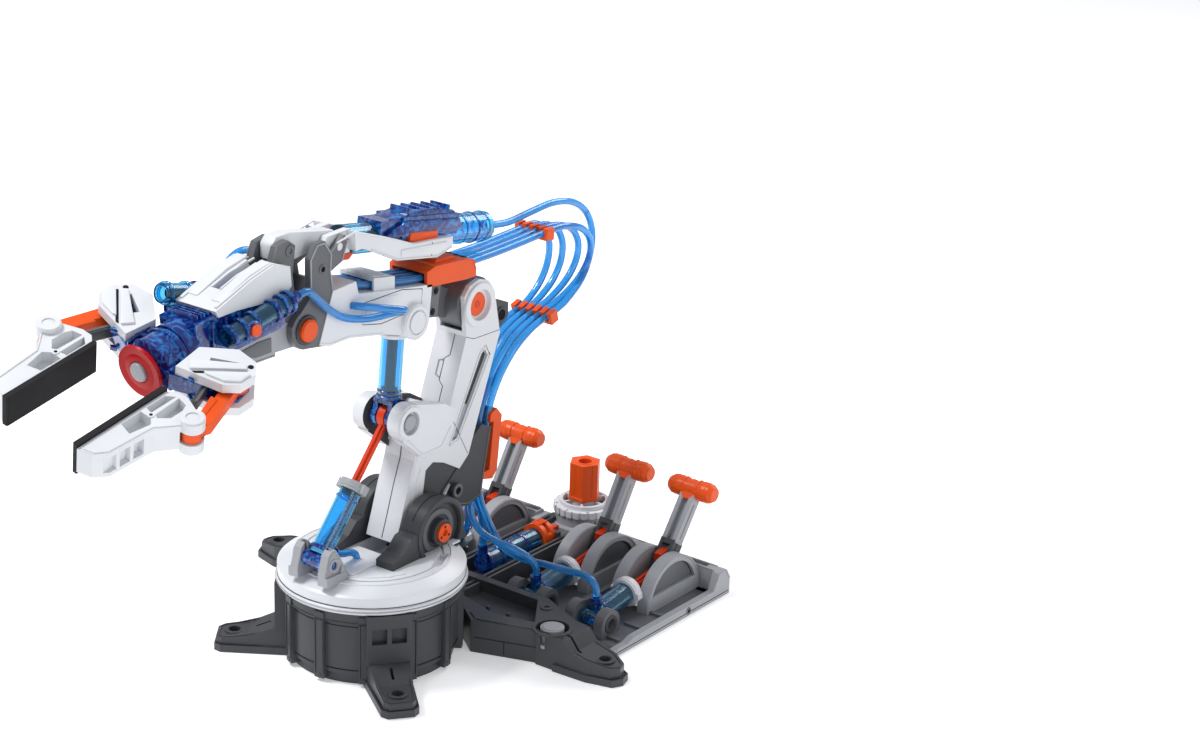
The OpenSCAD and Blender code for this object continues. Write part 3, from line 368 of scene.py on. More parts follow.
CLIMB = [(83.4, 66, 0), (85, 78, 0), (87.2, 92, 0), (89.6, 106, 0), (92.4, 120, 0.25), (98, 134, 0.65),
         (108, 146, 0.95), (122, 153.5, 1), (136, 157, 1)]
LOOP = [(150, 161.5, 0.1), (163, 169, 0.35), (171, 179, 0.6), (171.5, 190, 0.85), (164, 199.5, 1),
        (150, 204.6, 1), (136, 205, 1), (131, 204.8, 1)]
LOOP_SIZE = [0.62, 0.78, 1, 1.14]
CRADLE = [(10, 136, 157), (10, 150, 161), (8, 168, 170), (4, 181, 181), (1, 186, 193), (0, 181, 205),
          (0, 168, 213.5), (0, 150, 217), (0, 130, 216), (0, 111, 214.6), (0, 95.4, 216.3)]
FOREARM = [(130.5, 204.8), (112, 204), (92, 203.4), (72, 203.4), (52, 203.8), (34, 203.9), (18, 205.4),
           (4, 207.8), (-8, 209.6), (-18, 211.8), (-26, 213.6)]
WRIST_RIGHT = [(13, -30, 205), (16.5, -28.5, 205), (21.5, -21, 203.5), (25, -11, 201), (25.5, -4.5, 199),
               (22.5, -2.5, 197.6), (19.5, -9, 196.8), (17.6, -24, 197.6), (16.6, -40, 202), (16.4, -52, 210),
               (16.8, -62, 219), (17, -67, 222.4), (17.2, -73.7, 222)]
WRIST_LEFT = [(-13, -30, 206), (-16.6, -31.5, 207.4), (-19, -38, 212), (-19.8, -48, 221), (-19.8, -60, 231),
              (-19.4, -72, 237), (-19, -82, 235.6), (-18.7, -89.5, 228.6), (-18.6, -94.4, 222.6),
              (-18.6, -100.7, 222)]
LIFT = [(0, -29.9, 66.6), (0, -26.4, 64), (0, -22, 62.4), (0, -17.6, 61.6), (0, -13.6, 59.4), (0, -12, 56)]


def in_metres(points):
    """A route given in millimetres, as points in metres."""
    return [mm(*p) for p in points]


def mirrored(points):
    """The same route on the left side."""
    return [(-x, y, z) for x, y, z in points]


def climb_points(k):
    """Hose k up the back of the column: the hoses start bundled and end 5 mm apart."""
    x0, dy = RISER_X[k]
    xc = 5 * (k - 2)
    return [(x0 + (xc - x0) * s, y + dy * (1 - s), z) for y, z, s in CLIMB]


def loop_points(k):
    """Hose k round the loop to the forearm; each loop is wider than the one before."""
    size = LOOP_SIZE[k]
    return [(5 * (k - 2) + 2.5 * s, 136 + (y - 136) * (size if y > 136 else 1), z) for y, z, s in LOOP]


# The route from the console to the turntable, split where it starts to follow the arm.
RISERS = [
    (mirrored(RISER_OUTER), 8, (-66, 93, 31), (-10, 92, 38)),
    (mirrored(RISER_INNER), 4, (-39, 91, 28), (-20, 80.5, 41)),
    (RISER_MID, 3, (0, 94, 31), (0, 90, 51)),
    (RISER_INNER, 4, (39, 91, 28), (20, 80.5, 41)),
    (RISER_OUTER, 8, (66, 93, 31), (10, 92, 38)),
]
for k, (route, split, twist_from, twist_to) in enumerate(RISERS):
    low = catmull(in_metres(route))
    cut = split * 6
    lower = hose_tube(f"hose_riser_{k}", low[: cut + 1])
    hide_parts("hoses_riser")
    arm_part = climb_points(k) + (loop_points(k) if k < 4 else [])
    path = low[cut:-1] + catmull(in_metres(arm_part))
    upper = hose_tube(f"hose_arm_{k}", path)
    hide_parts("hoses_loop")
    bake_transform(lower)
    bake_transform(upper)

cradle_path = catmull(in_metres(CRADLE))
cut = 5 * 6
hose_low = hose_tube("hose_cradle_low", cradle_path[: cut + 1])
hose_high = hose_tube("hose_cradle_high", cradle_path[cut:])
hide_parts("hose_cradle")
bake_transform(hose_low)
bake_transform(hose_high)

for k in range(4):
    path = catmull(in_metres([(5 * (k - 1.5), y, z) for y, z in FOREARM]))
    run = hose_tube(f"hose_forearm_{k}", path)
    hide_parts("hoses_forearm")
    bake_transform(run)

for name, route, a, b in (
    ("hose_wrist_right", WRIST_RIGHT, (17, -30, 199), (17, -70, 218)),
    ("hose_wrist_left", WRIST_LEFT, (-19, -44, 217), (-19, -88, 231)),
):
    path = catmull(in_metres(route))
    run = hose_tube(name, path)
    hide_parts("hoses_wrist")
    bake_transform(run)

lift_hose = hose_tube("hose_lift_stub", catmull(in_metres(LIFT)))
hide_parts("hose_lift")
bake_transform(lift_hose)


# ---------------------------------------------------------------- paint the CAD nodes


def along(p, a, b):
    """How far p lies along the line a-b in the YZ plane and how far above it, in millimetres."""
    d = Vector((b[0] - a[0], b[1] - a[1])).normalized()
    q = Vector((p.y - a[0], p.z - a[1]))
    return q.dot(d), q.x * -d.y + q.y * d.x


def paint(node, base, *rules):
    """Gives a node its base material, and others to the faces whose centre and normal a rule accepts."""
    obj = NODES[node]
    looks = [base] + [look for look, _ in rules]
    obj.data.materials.clear()
    for look in looks:
        obj.data.materials.append(M[look])
    if not rules:
        return
    for poly in obj.data.polygons:
        centre = poly.center / MM
        for i, (_, test) in enumerate(rules):
            if test(centre, poly.normal):
                poly.material_index = i + 1
                break
        else:
            poly.material_index = 0


for entry in frame["record"]["subparts"]:
    paint(entry["node"], SLOTS[entry["material_slot"]])


def lift_t(p):
    """A point's place along and above the shoulder cylinder; the next three are for the other cylinders."""
    return along(p, TAIL_PIN, BOSS)


def bend_t(p):
    return along(p, BOSS, CAP_PIN)


def cradle_t(p):
    return along(p, CYL_TAIL, CRADLE_PIN)


def master_t(p):
    return along(p, MASTER_FROM, CRANK_AT)


def nearest_lever(p):
    """The x of the lever whose parts p is among."""
    return min(LEVER_X, key=lambda x: abs(p.x - x))


paint("lift_barrel", "blue",
      ("pale", lambda p, n: lift_t(p)[0] > 39.9),
      ("navy", lambda p, n: lift_t(p)[0] < 4.6 or abs(lift_t(p)[1]) > 5.9))
paint("bend_barrel", "blue",
      ("white", lambda p, n: bend_t(p)[0] > 43.5),
      ("navy", lambda p, n: bend_t(p)[0] < 10.1 and math.hypot(p.x, bend_t(p)[1]) > 4.9))
paint("cradle", "white",
      ("navy", lambda p, n: 33.9 < cradle_t(p)[0] < 94.1 and cradle_t(p)[1] < -2.4 and 7.9 < math.hypot(
          p.x, cradle_t(p)[1]) and abs(p.x) < 9.7),
      ("blue", lambda p, n: math.hypot(p.x, cradle_t(p)[1]) < 8.05 and cradle_t(p)[0] < 116.2))
paint("forearm", "white",
      ("mid", lambda p, n: p.y < -44 and abs(p.x) < 9.05 and (p.y + 54) * 26 - (p.z - 190) * 10 < -2))
paint("wrist_frame", "mid",
      ("pale", lambda p, n: abs(p.x) > 8.4 and p.z < 206.1 and p.y > -117),
      ("navy", lambda p, n: p.y < -84.1 and p.z > 201 or abs(p.x) > 8.6 or p.y < -117))
paint("hand_cylinders", "blue",
      ("orange", lambda p, n: p.x > 22.3),
      ("navy", lambda p, n: p.x > 0 and along(p, RIGHT_CYL_TAIL, RIGHT_CYL_END)[0] < 0.1),
      ("navy", lambda p, n: p.x < 0 and along(p, LEFT_CYL_TAIL, LEFT_CYL_END)[0] < 0.1))
paint("suction_cup", "red",
      ("pale", lambda p, n: (HAND_TURN.inverted() @ (p - HAND_AT)).xz.length < 5.05
       and (HAND_TURN.inverted() @ (p - HAND_AT)).y < -0.5))
for i, node in enumerate(("lever_a", "lever_b", "lever_c", "lever_d")):
    lean = math.radians(LEVER_LEAN[i])
    up = (LEVER_PIVOT[0] + math.sin(lean), LEVER_PIVOT[1] + math.cos(lean))
    paint(node, "pale",
          ("orange", lambda p, n, up=up: along(p, LEVER_PIVOT, up)[0] > 55.8),
          ("dark", lambda p, n, up=up: along(p, LEVER_PIVOT, up)[0] < 31.2))
paint("master_barrels", "blue",
      ("white", lambda p, n: master_t(p)[0] > 29.9),
      ("navy", lambda p, n: abs(master_t(p)[1]) > 6.5 and master_t(p)[0] < 12),
      ("mid", lambda p, n: abs(p.x - nearest_lever(p)) > 6.45))
paint("base_barrel", "blue", ("navy", lambda p, n: p.y < 96.1 or p.z > 23.3))
paint("lever_fenders", "pale",
      ("mid", lambda p, n: abs(n.x) > 0.9 and abs(abs(p.x - nearest_lever(p)) - 11) < 0.1))
paint("column", "white",
      ("dark", lambda p, n: abs(n.x) > 0.9 and abs(p.x) < 8.7 and p.z < 155))
for node in ("base_rod", "rod_a", "rod_b", "rod_c", "rod_d", "lift_rod", "bend_rod", "pitch_rod"):
    paint(node, "rod")


# ---------------------------------------------------------------- details


def line(name, points, look, body, width=0.5, closed=False):
    """A raised bead or a dark seam along points given in metres."""
    path = list(points)
    if closed:
        path += path[:2]
    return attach(hose_tube(name, path, width * MM, 6, look), body)


def flat(x, outline):
    """An outline of (y, z) millimetres on the plane x."""
    return [mm(x, y, z) for y, z in outline]


def round_line(centre, x, radius, start=0, end=360, steps=36):
    """Points round a (y, z) centre on the plane x."""
    angles = [math.radians(start + (end - start) * k / steps) for k in range(steps + (end - start < 360))]
    return [mm(x, centre[0] + radius * math.cos(a), centre[1] + radius * math.sin(a)) for a in angles]


def ring(name, centre, x, inner, outer, height, look, body, sides=48):
    """A raised ring on the plane x, standing out towards the side that x is on."""
    out = 1 if x > 0 else -1
    profile = [(inner, -0.4), (inner, height - 0.2), (inner + 0.25, height), (outer - 0.4, height),
               (outer, height - 0.4), (outer, -0.4), (inner, -0.4)]
    return turned(name, profile, mm(x, *centre), (out, 0, 0), look, body, sides)


def disc(name, at, axis, radius, height, look, body, sides=36, round_mm=0.3):
    """A low round cap standing on the point at, in metres."""
    profile = [(0, -0.3), (radius, -0.3), (radius, height - round_mm), (radius - round_mm, height), (0, height)]
    return turned(name, profile, at, axis, look, body, sides)


def hollow(name, at, axis, inner, outer, height, look, body, sides=36):
    """A ring standing on the point at, in metres."""
    profile = [(inner, -0.3), (inner, height), (outer - 0.3, height), (outer, height - 0.3), (outer, -0.3),
               (inner, -0.3)]
    return turned(name, profile, at, axis, look, body, sides)


def on_line(a, b, t, x=0.0):
    """The point t millimetres along the line a-b in the YZ plane."""
    d = Vector((b[0] - a[0], b[1] - a[1])).normalized()
    return mm(x, a[0] + d.x * t, a[1] + d.y * t)


def heading(a, b):
    """The direction of the line a-b in the YZ plane."""
    d = Vector((b[0] - a[0], b[1] - a[1])).normalized()
    return Vector((0, d.x, d.y))


def barrel_ring(name, a, b, t, inner, outer, width, look, body, x=0.0):
    """A band round a barrel on the line a-b, t millimetres from a."""
    profile = [(inner, 0), (outer - 0.3, 0), (outer, 0.3), (outer, width - 0.3), (outer - 0.3, width),
               (inner, width), (inner, 0)]
    return turned(name, profile, on_line(a, b, t, x), heading(a, b), look, body, 40)


def span(sign, inner, outer):
    """The distances inner and outer on the side that sign gives, lower one first."""
    return sorted((sign * inner, sign * outer))


SIDES = (("right", 1), ("left", -1))

# column: ringed openings, framed slots, the joint line of its two shells
for side, s in SIDES:
    ring(f"elbow_ring_{side}", ELBOW, s * COLUMN_SIDE, 8.6, 12.4, 1.5, "white", "upper_arm")
    disc(f"elbow_end_{side}", mm(s * 8.9, *ELBOW), (s, 0, 0), 6.6, 0.6, "orange", "upper_arm")
    disc(f"elbow_dimple_{side}", mm(s * 9.5, *ELBOW), (s, 0, 0), 2.2, 0.3, "rod", "upper_arm")
    line(f"slot_frame_{side}",
         flat(s * COLUMN_SIDE, [(50.4, 104.6), (58, 105.6), (83.8, 147.8), (80.2, 154), (75.4, 151)]), "white",
         "upper_arm", 0.55, closed=True)
    prism(f"slot_floor_{side}", [(53.2, 108), (56.6, 108.6), (80.6, 148), (79, 150.4), (77, 149)],
          *span(s, 8.4, 8.75), "dark", "upper_arm", round_mm=0)
    prism(f"slot_step_{side}", [(53, 107.4), (57, 107.8), (66.4, 123.4), (63.6, 125)], *span(s, 8.4, 9.7),
          "pale", "upper_arm")
    line(f"column_crease_{side}", flat(s * COLUMN_SIDE, [(63.6, 163), (70, 160.4), (91.6, 160)]), "hole",
         "upper_arm", 0.16)
    line(f"column_seam_{side}", flat(s * COLUMN_SIDE, [(30, 119.4), (49.5, 124.6), (66.4, 95)]), "hole",
         "upper_arm", 0.16)
    line(f"column_rim_{side}", flat(s * 10.4, [(18, 90), (24, 105), (25.6, 116), (31, 117)]), "white",
         "upper_arm", 0.5)
    line(f"column_foot_{side}", flat(s * 10.4, [(15, 66), (19, 78), (22, 88), (27, 99)]), "white", "upper_arm",
         0.45)
    ring(f"boss_ring_{side}", BOSS, s * 16, 6.4, 9.2, 0.9, "white", "upper_arm")
    disc(f"boss_cap_{side}", mm(s * 15.5, *BOSS), (s, 0, 0), 4.3, 0.7, "pale", "upper_arm")
    line(f"lug_edge_{side}", flat(s * 16, [(9, 122), (22, 109.6), (37, 109.6), (45, 119)]), "white",
         "upper_arm", 0.4)
    hollow(f"core_socket_{side}", mm(s * 12.4, 56, 77), (s, 0, 0), 2.2, 3.9, 0.5, "mid", "upper_arm")
    line(f"core_edge_{side}", flat(s * 9, [(58, 67.4), (69, 64.6), (79, 67), (86.6, 103)]), "mid", "upper_arm",
         0.4)
    disc(f"socket_{side}", mm(s * 5, 99.5, 165.5), (s, 0, 0), 3.1, 0.3, "hole", "upper_arm")
    hollow(f"socket_rim_{side}", mm(s * 5, 99.5, 165.5), (s, 0, 0), 3.1, 4.4, 0.8, "dark", "upper_arm")


def column_front(x, s):
    """A point on the column's front face, s from 0 at the bend to 1 at the top."""
    return mm(x, 49.5 + 14.1 * s, 124.3 + 38.7 * s)


line("shell_seam", [column_front(x, s) for x, s in ((2.6, 0.0), (2.6, 0.3), (-0.6, 0.36), (-0.6, 0.66),
      (2.6, 0.72), (2.6, 1.0))], "hole", "upper_arm", 0.22)
line("shell_tab", [column_front(x, s) for x, s in ((-0.6, 0.4), (-3.8, 0.42), (-3.8, 0.62), (-0.6, 0.64))],
     "pale", "upper_arm", 0.5)
line("lower_seam", flat(0.4, [(7.2, 62), (11.4, 74), (15.9, 88), (21.8, 104), (23.8, 117)]), "hole",
     "upper_arm", 0.18)
for k in range(3):
    y, z = 90.3 + 1.1 * k, 84 + 8 * k
    disc(f"strip_rivet_{k}", mm(0, y + 4.2, z), (0, 1, -0.1), 1.1, 0.5, "orange", "upper_arm")

# brackets with their round rims and the star end of the axle
for side, s in SIDES:
    ring(f"bracket_rim_{side}", SHOULDER, s * 25, 16.2, 18.8, 0.8, "dark", "turntable")
    ring(f"bracket_hub_{side}", SHOULDER, s * 22.6, 9.2, 12.6, 0.7, "mid", "turntable")
    ring(f"axle_collar_{side}", SHOULDER, s * 26.3, 5.4, 7.1, 0.4, "dark", "turntable")
    for k in range(3):
        a = math.radians(90 + 120 * k)
        disc(f"axle_notch_{side}_{k}",
             mm(s * 28, SHOULDER[0] + 3.5 * math.cos(a), SHOULDER[1] + 3.5 * math.sin(a)), (s, 0, 0), 0.8, 0.05,
             "hole", "turntable", 16, 0.02)
    prism(f"bracket_foot_{side}", [(-9, 60), (-3.4, 61.6), (3, 67), (5.4, 63), (5, 58.6), (-9, 58.6)],
          *span(s, 15.4, 23), "dark", "turntable", round_mm=0.8)
    line(f"bracket_edge_{side}", round_line(SHOULDER, s * 19.2, 19.1, 20, 150), "hole", "turntable", 0.18)
    prism(f"bracket_key_{side}", [(44, 57), (50.6, 56.2), (50.6, 58.6), (46.4, 60.8)], *span(s, 15, 22), "dark",
          "turntable")

# turntable: dish edge, seam and the marks on its deck


def deck_line(name, radius, z, start, end, look, width, body="turntable"):
    """A bead or seam round the turntable's axis, from one angle to another."""
    steps = max(8, int((end - start) / 4))
    points = []
    for k in range(steps + (end - start < 360)):
        a = math.radians(start + (end - start) * k / steps)
        points.append(mm(radius * math.cos(a), radius * math.sin(a), z))
    return line(name, points, look, body, width, closed=end - start >= 360)


deck_line("dish_seam", 50.35, 46.3, 0, 360, "hole", 0.2)
deck_line("dish_lip", 42.2, 55.8, 0, 360, "white", 0.6)
deck_line("deck_ridge", 33.4, DECK_Z, 196, 344, "white", 0.5)
deck_line("deck_ridge_rear", 33.4, DECK_Z, 62, 118, "white", 0.5)
deck_line("lower_rim", 51, 44.2, 0, 360, "pale", 0.45)
prism("deck_plate", [(-30, 56), (-12, 56), (-12, 56.8), (-30, 56.8)], -13, 13, "white", "turntable")
for side, s in SIDES:
    prism(f"deck_step_{side}", [(34, 56), (41, 56), (41, 57), (35, 57)], *span(s, 14, 27), "white", "turntable")
    disc(f"deck_pip_{side}", mm(s * 28, -18, DECK_Z), (0, 0, 1), 1.5, 0.6, "white", "turntable")
    # clevis ears
    line(f"ear_edge_{side}",
         flat(s * 12, [(-49.2, 57), (-49.2, 62), (-46.2, 71.4), (-44, 73.6), (-41.8, 73.6), (-38.8, 68.6)]),
         "pale", "turntable", 0.4)
    ring(f"ear_ring_{side}", TAIL_PIN, s * 12, 2.3, 4, 0.6, "pale", "turntable")
    prism(f"ear_rib_{side}", [(-40, 57), (-34, 57), (-38, 65)], *span(s, 12, 13.2), "pale", "turntable")

# drum: panel frames, skirt notches and top windows
for k in range(12):
    a = math.radians(k * 30 + 7)
    out = Vector((math.cos(a), math.sin(a), 0))
    across = Vector((-math.sin(a), math.cos(a), 0))

    def on_drum(t, r, z, out=out, across=across):
        return (out * r + across * t) * MM + mm(0, 0, z)

    # the two ribs at the back are inside the console
    if k not in (2, 3):
        line(f"rib_edge_{k}",
             [on_drum(-2.4, 48.8, 5), on_drum(-2.4, 48.8, 36), on_drum(2.4, 48.8, 36), on_drum(2.4, 48.8, 5)],
             "dark", "base", 0.4)
        disc(f"rib_foot_{k}", on_drum(0, 48.6, 3.4), out, 1.6, 0.4, "dark", "base")
deck_line("drum_lip", 47.8, 36.2, 0, 360, "dark", 0.5, "base")
deck_line("drum_skirt", 46.3, 8.4, 0, 360, "hole", 0.3, "base")
deck_line("drum_band", 46.3, 33.4, 0, 360, "hole", 0.2, "base")

# feet: rings round the screw holes, raised edges and a slot
for side, s in SIDES:
    turn = Matrix.Rotation(math.radians(s * (90 - 38.05)), 3, "Z")

    def foot(x, y, z, turn=turn):
        return turn @ mm(x, y, z)

    hollow(f"front_foot_ring_{side}", foot(0, -73.7, 8.5), (0, 0, 1), 3.4, 5.2, 0.7, "dark", "base")
    line(f"front_foot_edge_{side}", [foot(-9.4, -57, 12.3), foot(-8.3, -72, 9), foot(-7.6, -79, 8.2),
          foot(-5.4, -81.6, 7.9), foot(5.4, -81.6, 7.9), foot(7.6, -79, 8.2), foot(8.3, -72, 9),
          foot(9.4, -57, 12.3)], "dark", "base", 0.45)
    line(f"front_foot_seam_{side}", [foot(-10.2, -58, 4), foot(-9, -79.8, 4), foot(-6.4, -83, 4),
          foot(6.4, -83, 4), foot(9, -79.8, 4), foot(10.2, -58, 4)], "hole", "base", 0.25)
    hollow(f"rear_foot_ring_{side}", mm(s * 118, 52, 10.7), (0, 0, 1), 3.4, 5.4, 0.7, "dark", "base")
    line(f"rear_foot_edge_{side}", [mm(s * x, y, z) for x, y, z in ((104, 44.4, 13), (112, 44, 11.9),
          (125, 47.4, 9.9), (127.6, 51.4, 9.5), (125.8, 56, 9.8), (117.4, 60.4, 11), (104, 62, 13))], "dark",
         "base", 0.45)
    line(f"rear_foot_seam_{side}", [mm(s * x, y, 4) for x, y in ((96, 42), (112.4, 42.4), (126.6, 46),
          (129.6, 51.2), (127.8, 57.4), (118, 62.8), (98, 65))], "hole", "base", 0.25)
    # link between the drum and the console
    ring_at = mm(s * 84, 50, 19)
    hollow(f"link_ring_{side}", ring_at, (0, 0, 1), 9.1, 11, 0.7, "dark", "base")
    disc(f"link_cap_{side}", mm(s * 84, 50, 20), (0, 0, 1), 5.4, 0.6, "pale", "base")
    line(f"link_edge_{side}", [mm(s * x, y, 19) for x, y in ((96, 44), (78, 43), (46, 32), (38, 37))], "dark",
         "base", 0.5)
    line(f"link_seam_{side}", [mm(s * x, y, 9) for x, y in ((97.1, 43), (78, 41.9), (46, 30.6))], "hole",
         "base", 0.2)
    line(f"link_step_{side}", [mm(s * 62, 36.4, 1), mm(s * 62, 36.4, 9)], "hole", "base", 0.25)
    for k in range(3):
        prism(f"link_rib_{side}_{k}", [(50, 12), (52, 12), (52, 18), (50, 18)],
              *span(s, 24 + 14 * k, 26 + 14 * k), "dark", "base")
    hollow(f"tray_boss_{side}", mm(s * 66, 68, 18.9), (0, 0, 1), 1.6, 3.4, 0.8, "dark", "base")

# console: edge beads, channel rails, fenders, graduations
for side, s in SIDES:
    line(f"border_edge_{side}",
         flat(s * BORDER_SIDE, [(76, 4), (86, 4), (92, 6), (168, 6), (173, 15.4), (180, 15.4), (183.4, 10)]),
         "pale", "base", 0.5)
    line(f"border_seam_{side}", flat(s * BORDER_SIDE, [(75, 2), (183, 2)]), "hole", "base", 0.2)
    hollow(f"border_screw_{side}", mm(s * BORDER_SIDE, 143.6, 3), (s, 0, 0), 1.2, 2.2, 0.4, "mid", "base")
    disc(f"border_hole_{side}", mm(s * BORDER_SIDE, 143.6, 3), (s, 0, 0), 1.2, 0.1, "hole", "base", 20, 0.05)
    line(f"rail_edge_{side}", [mm(s * 14.6, 62, 17), mm(s * 14.6, 176, 17)], "mid", "base", 0.4)
    line(f"rail_inner_{side}", [mm(s * 10.6, 62, 17), mm(s * 10.6, 150, 17)], "mid", "base", 0.35)
    line(f"rear_edge_{side}", [mm(s * 26, 180, 16), mm(s * 102, 180, 16)], "pale", "base", 0.5)
    line(f"rear_front_edge_{side}", [mm(s * 26, 174, 16), mm(s * 102, 174, 16)], "pale", "base", 0.4)
    for k, x in enumerate((34, 62, 88)):
        prism(f"rear_inset_{side}_{k}", [(176.4, 13), (178.8, 13), (178.8, 13.6), (176.4, 13.6)],
              *span(s, x - 8, x + 8), "mid", "base", round_mm=0.15)
    for k, y in enumerate((84, 104, 124)):
        prism(f"floor_rib_{side}_{k}", [(y, 4), (y + 2, 4), (y + 2, 5.6), (y, 5.6)], *span(s, 22, 33), "mid",
              "base")
        prism(f"outer_rib_{side}_{k}", [(y, 4), (y + 2, 4), (y + 2, 5.6), (y, 5.6)], *span(s, 92, 103), "mid",
              "base")
for k in range(3):
    barrel_ring(f"base_barrel_band_{k}", BASE_CYL_TAIL, BASE_CYL_END, 9 + 11 * k, 6.1, 6.8, 1.6, "navy", "base")
for k, t in enumerate((-1.6, 46)):
    barrel_ring(f"base_barrel_ring_{k}", BASE_CYL_TAIL, BASE_CYL_END, t, 5.6, 7.2, 2.2, "blue" if k else "navy",
                "base")
for i, x in enumerate(LEVER_X):
    body = "lever_" + "abcd"[i]
    lean = math.radians(LEVER_LEAN[i])
    up = (LEVER_PIVOT[0] + math.sin(lean), LEVER_PIVOT[1] + math.cos(lean))
    for side, s in SIDES:
        line(f"fender_rim_{i}_{side}", round_line(FENDER, x + s * 13, 24.2, 4, 176), "pale", "base", 0.5)
        line(f"fender_inner_{i}_{side}", round_line(FENDER, x + s * 6, 24.2, 4, 176), "pale", "base", 0.45)
        line(f"fender_groove_{i}_{side}", round_line(FENDER, x + s * 11, 21.2, 14, 166), "hole", "base", 0.25)
        hollow(f"fender_hub_{i}_{side}", mm(x + s * 11, 144, 8), (s, 0, 0), 1.5, 3.4, 0.8, "mid", "base")
        hollow(f"cheek_ring_{i}_{side}", mm(x + s * 13, 88, 11), (s, 0, 0), 3.3, 5.4, 0.6, "dark", "base")
        line(f"stem_rib_{i}_{side}",
             [on_line(LEVER_PIVOT, up, 33, x + s * 4.7), on_line(LEVER_PIVOT, up, 54, x + s * 4.7)], "pale",
             body, 0.6)
        line(f"stem_edge_{i}_{side}",
             [on_line(LEVER_PIVOT, up, 8, x + s * 4.5), on_line(LEVER_PIVOT, up, 30, x + s * 4.5)], "mid", body,
             0.45)
    handle = on_line(LEVER_PIVOT, up, 63, x)
    for k, t in enumerate((-10.5, -4.6, 4.6, 10.5)):
        turned(f"handle_ring_{i}_{k}", [(5.2, -0.6), (6.05, -0.4), (6.05, 0.4), (5.2, 0.6), (5.2, -0.6)],
               handle + mm(t, 0, 0), (1, 0, 0), "orange", body, 10)
    disc(f"handle_dimple_{i}", on_line(LEVER_PIVOT, up, 68.1, x), heading(LEVER_PIVOT, up), 1.9, 0.12, "rod",
         body, 20, 0.05)
    barrel_ring(f"master_ring_{i}", MASTER_FROM, CRANK_AT, 7, 6.2, 6.9, 1.6, "navy", "base", x)
    barrel_ring(f"master_collar_{i}", MASTER_FROM, CRANK_AT, 31, 8, 8.7, 1.4, "white", "base", x)
    rod = "rod_" + "abcd"[i]
    near, far, lift = on_line(MASTER_FROM, CRANK_AT, 40), on_line(MASTER_FROM, CRANK_AT, 62), mm(0, -0.4, 1.6)
    outline = [(q.y / MM, q.z / MM) for q in (near, far, far + lift, near + lift)]
    prism(f"rod_cap_{i}", outline, x - 2.2, x + 2.2, "rod", rod)

# dial and knob
for k in range(8):
    a = math.radians(45 * k)
    disc(f"dial_pip_{k}", mm(16.2 * math.cos(a), KNOB_Y + 16.2 * math.sin(a), 24.5), (0, 0, 1), 0.7, 0.35,
         "pale", "dial", 14, 0.1)
hollow("dial_recess", mm(0, KNOB_Y, 23.6), (0, 0, 1), 8.1, 12.4, 0.15, "hole", "dial")
hollow("dial_hub", mm(0, KNOB_Y, 26.9), (0, 0, 1), 6.3, 8, 0.6, "white", "dial")
hollow("tower_rim", mm(0, KNOB_Y, 13.9), (0, 0, 1), 17.1, 18.6, 0.6, "pale", "base")
turned("knob_rim", [(4.1, 50.2), (5.2, 50.9), (5.8, 50.9), (6.2, 50.2), (4.1, 50.2)], mm(0, KNOB_Y, 0),
       (0, 0, 1), "orange", "knob")
turned("knob_skirt", [(3.1, 27.7), (9.9, 27.7), (9.9, 29.6), (9.2, 30.4), (3.1, 30.4), (3.1, 27.7)],
       mm(0, KNOB_Y, 0), (0, 0, 1), "orange", "knob", 6)
for k in range(4):
    prism(f"clip_tooth_{k}",
          [(142 + 2 * k, 25.3), (143 + 2 * k, 25.3), (143 + 2 * k, 26.1), (142 + 2 * k, 26.1)], -3, 3, "orange",
          "base", round_mm=0.15)

# shoulder and elbow cylinders
barrel_ring("lift_tail_ring", TAIL_PIN, BOSS, 5, 5.4, 6.5, 2.4, "navy", "lift_barrel")
barrel_ring("lift_mid_ring", TAIL_PIN, BOSS, 35, 5.6, 6.3, 1.2, "blue", "lift_barrel")
barrel_ring("lift_cap_ring", TAIL_PIN, BOSS, 41.4, 7.2, 7.9, 1.2, "pale", "lift_barrel")
for k in range(4):
    a = math.radians(45 + 90 * k)
    away = heading(TAIL_PIN, BOSS).cross(Vector((1, 0, 0)))
    spot = on_line(TAIL_PIN, BOSS, 45, 5.2 * math.cos(a)) + away * (5.2 * math.sin(a) * MM)
    disc(f"lift_cap_pip_{k}", spot, heading(TAIL_PIN, BOSS), 0.9, 0.4, "pale", "lift_barrel", 14, 0.1)
turned("bend_stem", [(0, 16.4), (2.8, 16.4), (2.8, 50), (0, 50)], mm(0, *BOSS), heading(BOSS, CAP_PIN), "rod",
       "bend_rod")
barrel_ring("bend_tail_ring", BOSS, CAP_PIN, 10, 6, 6.9, 2.2, "navy", "bend_barrel")
barrel_ring("bend_tail_ring_2", BOSS, CAP_PIN, 14, 6, 6.6, 1, "navy", "bend_barrel")
barrel_ring("bend_cap_ring", BOSS, CAP_PIN, 44.6, 6.6, 7.3, 1.4, "white", "bend_barrel")

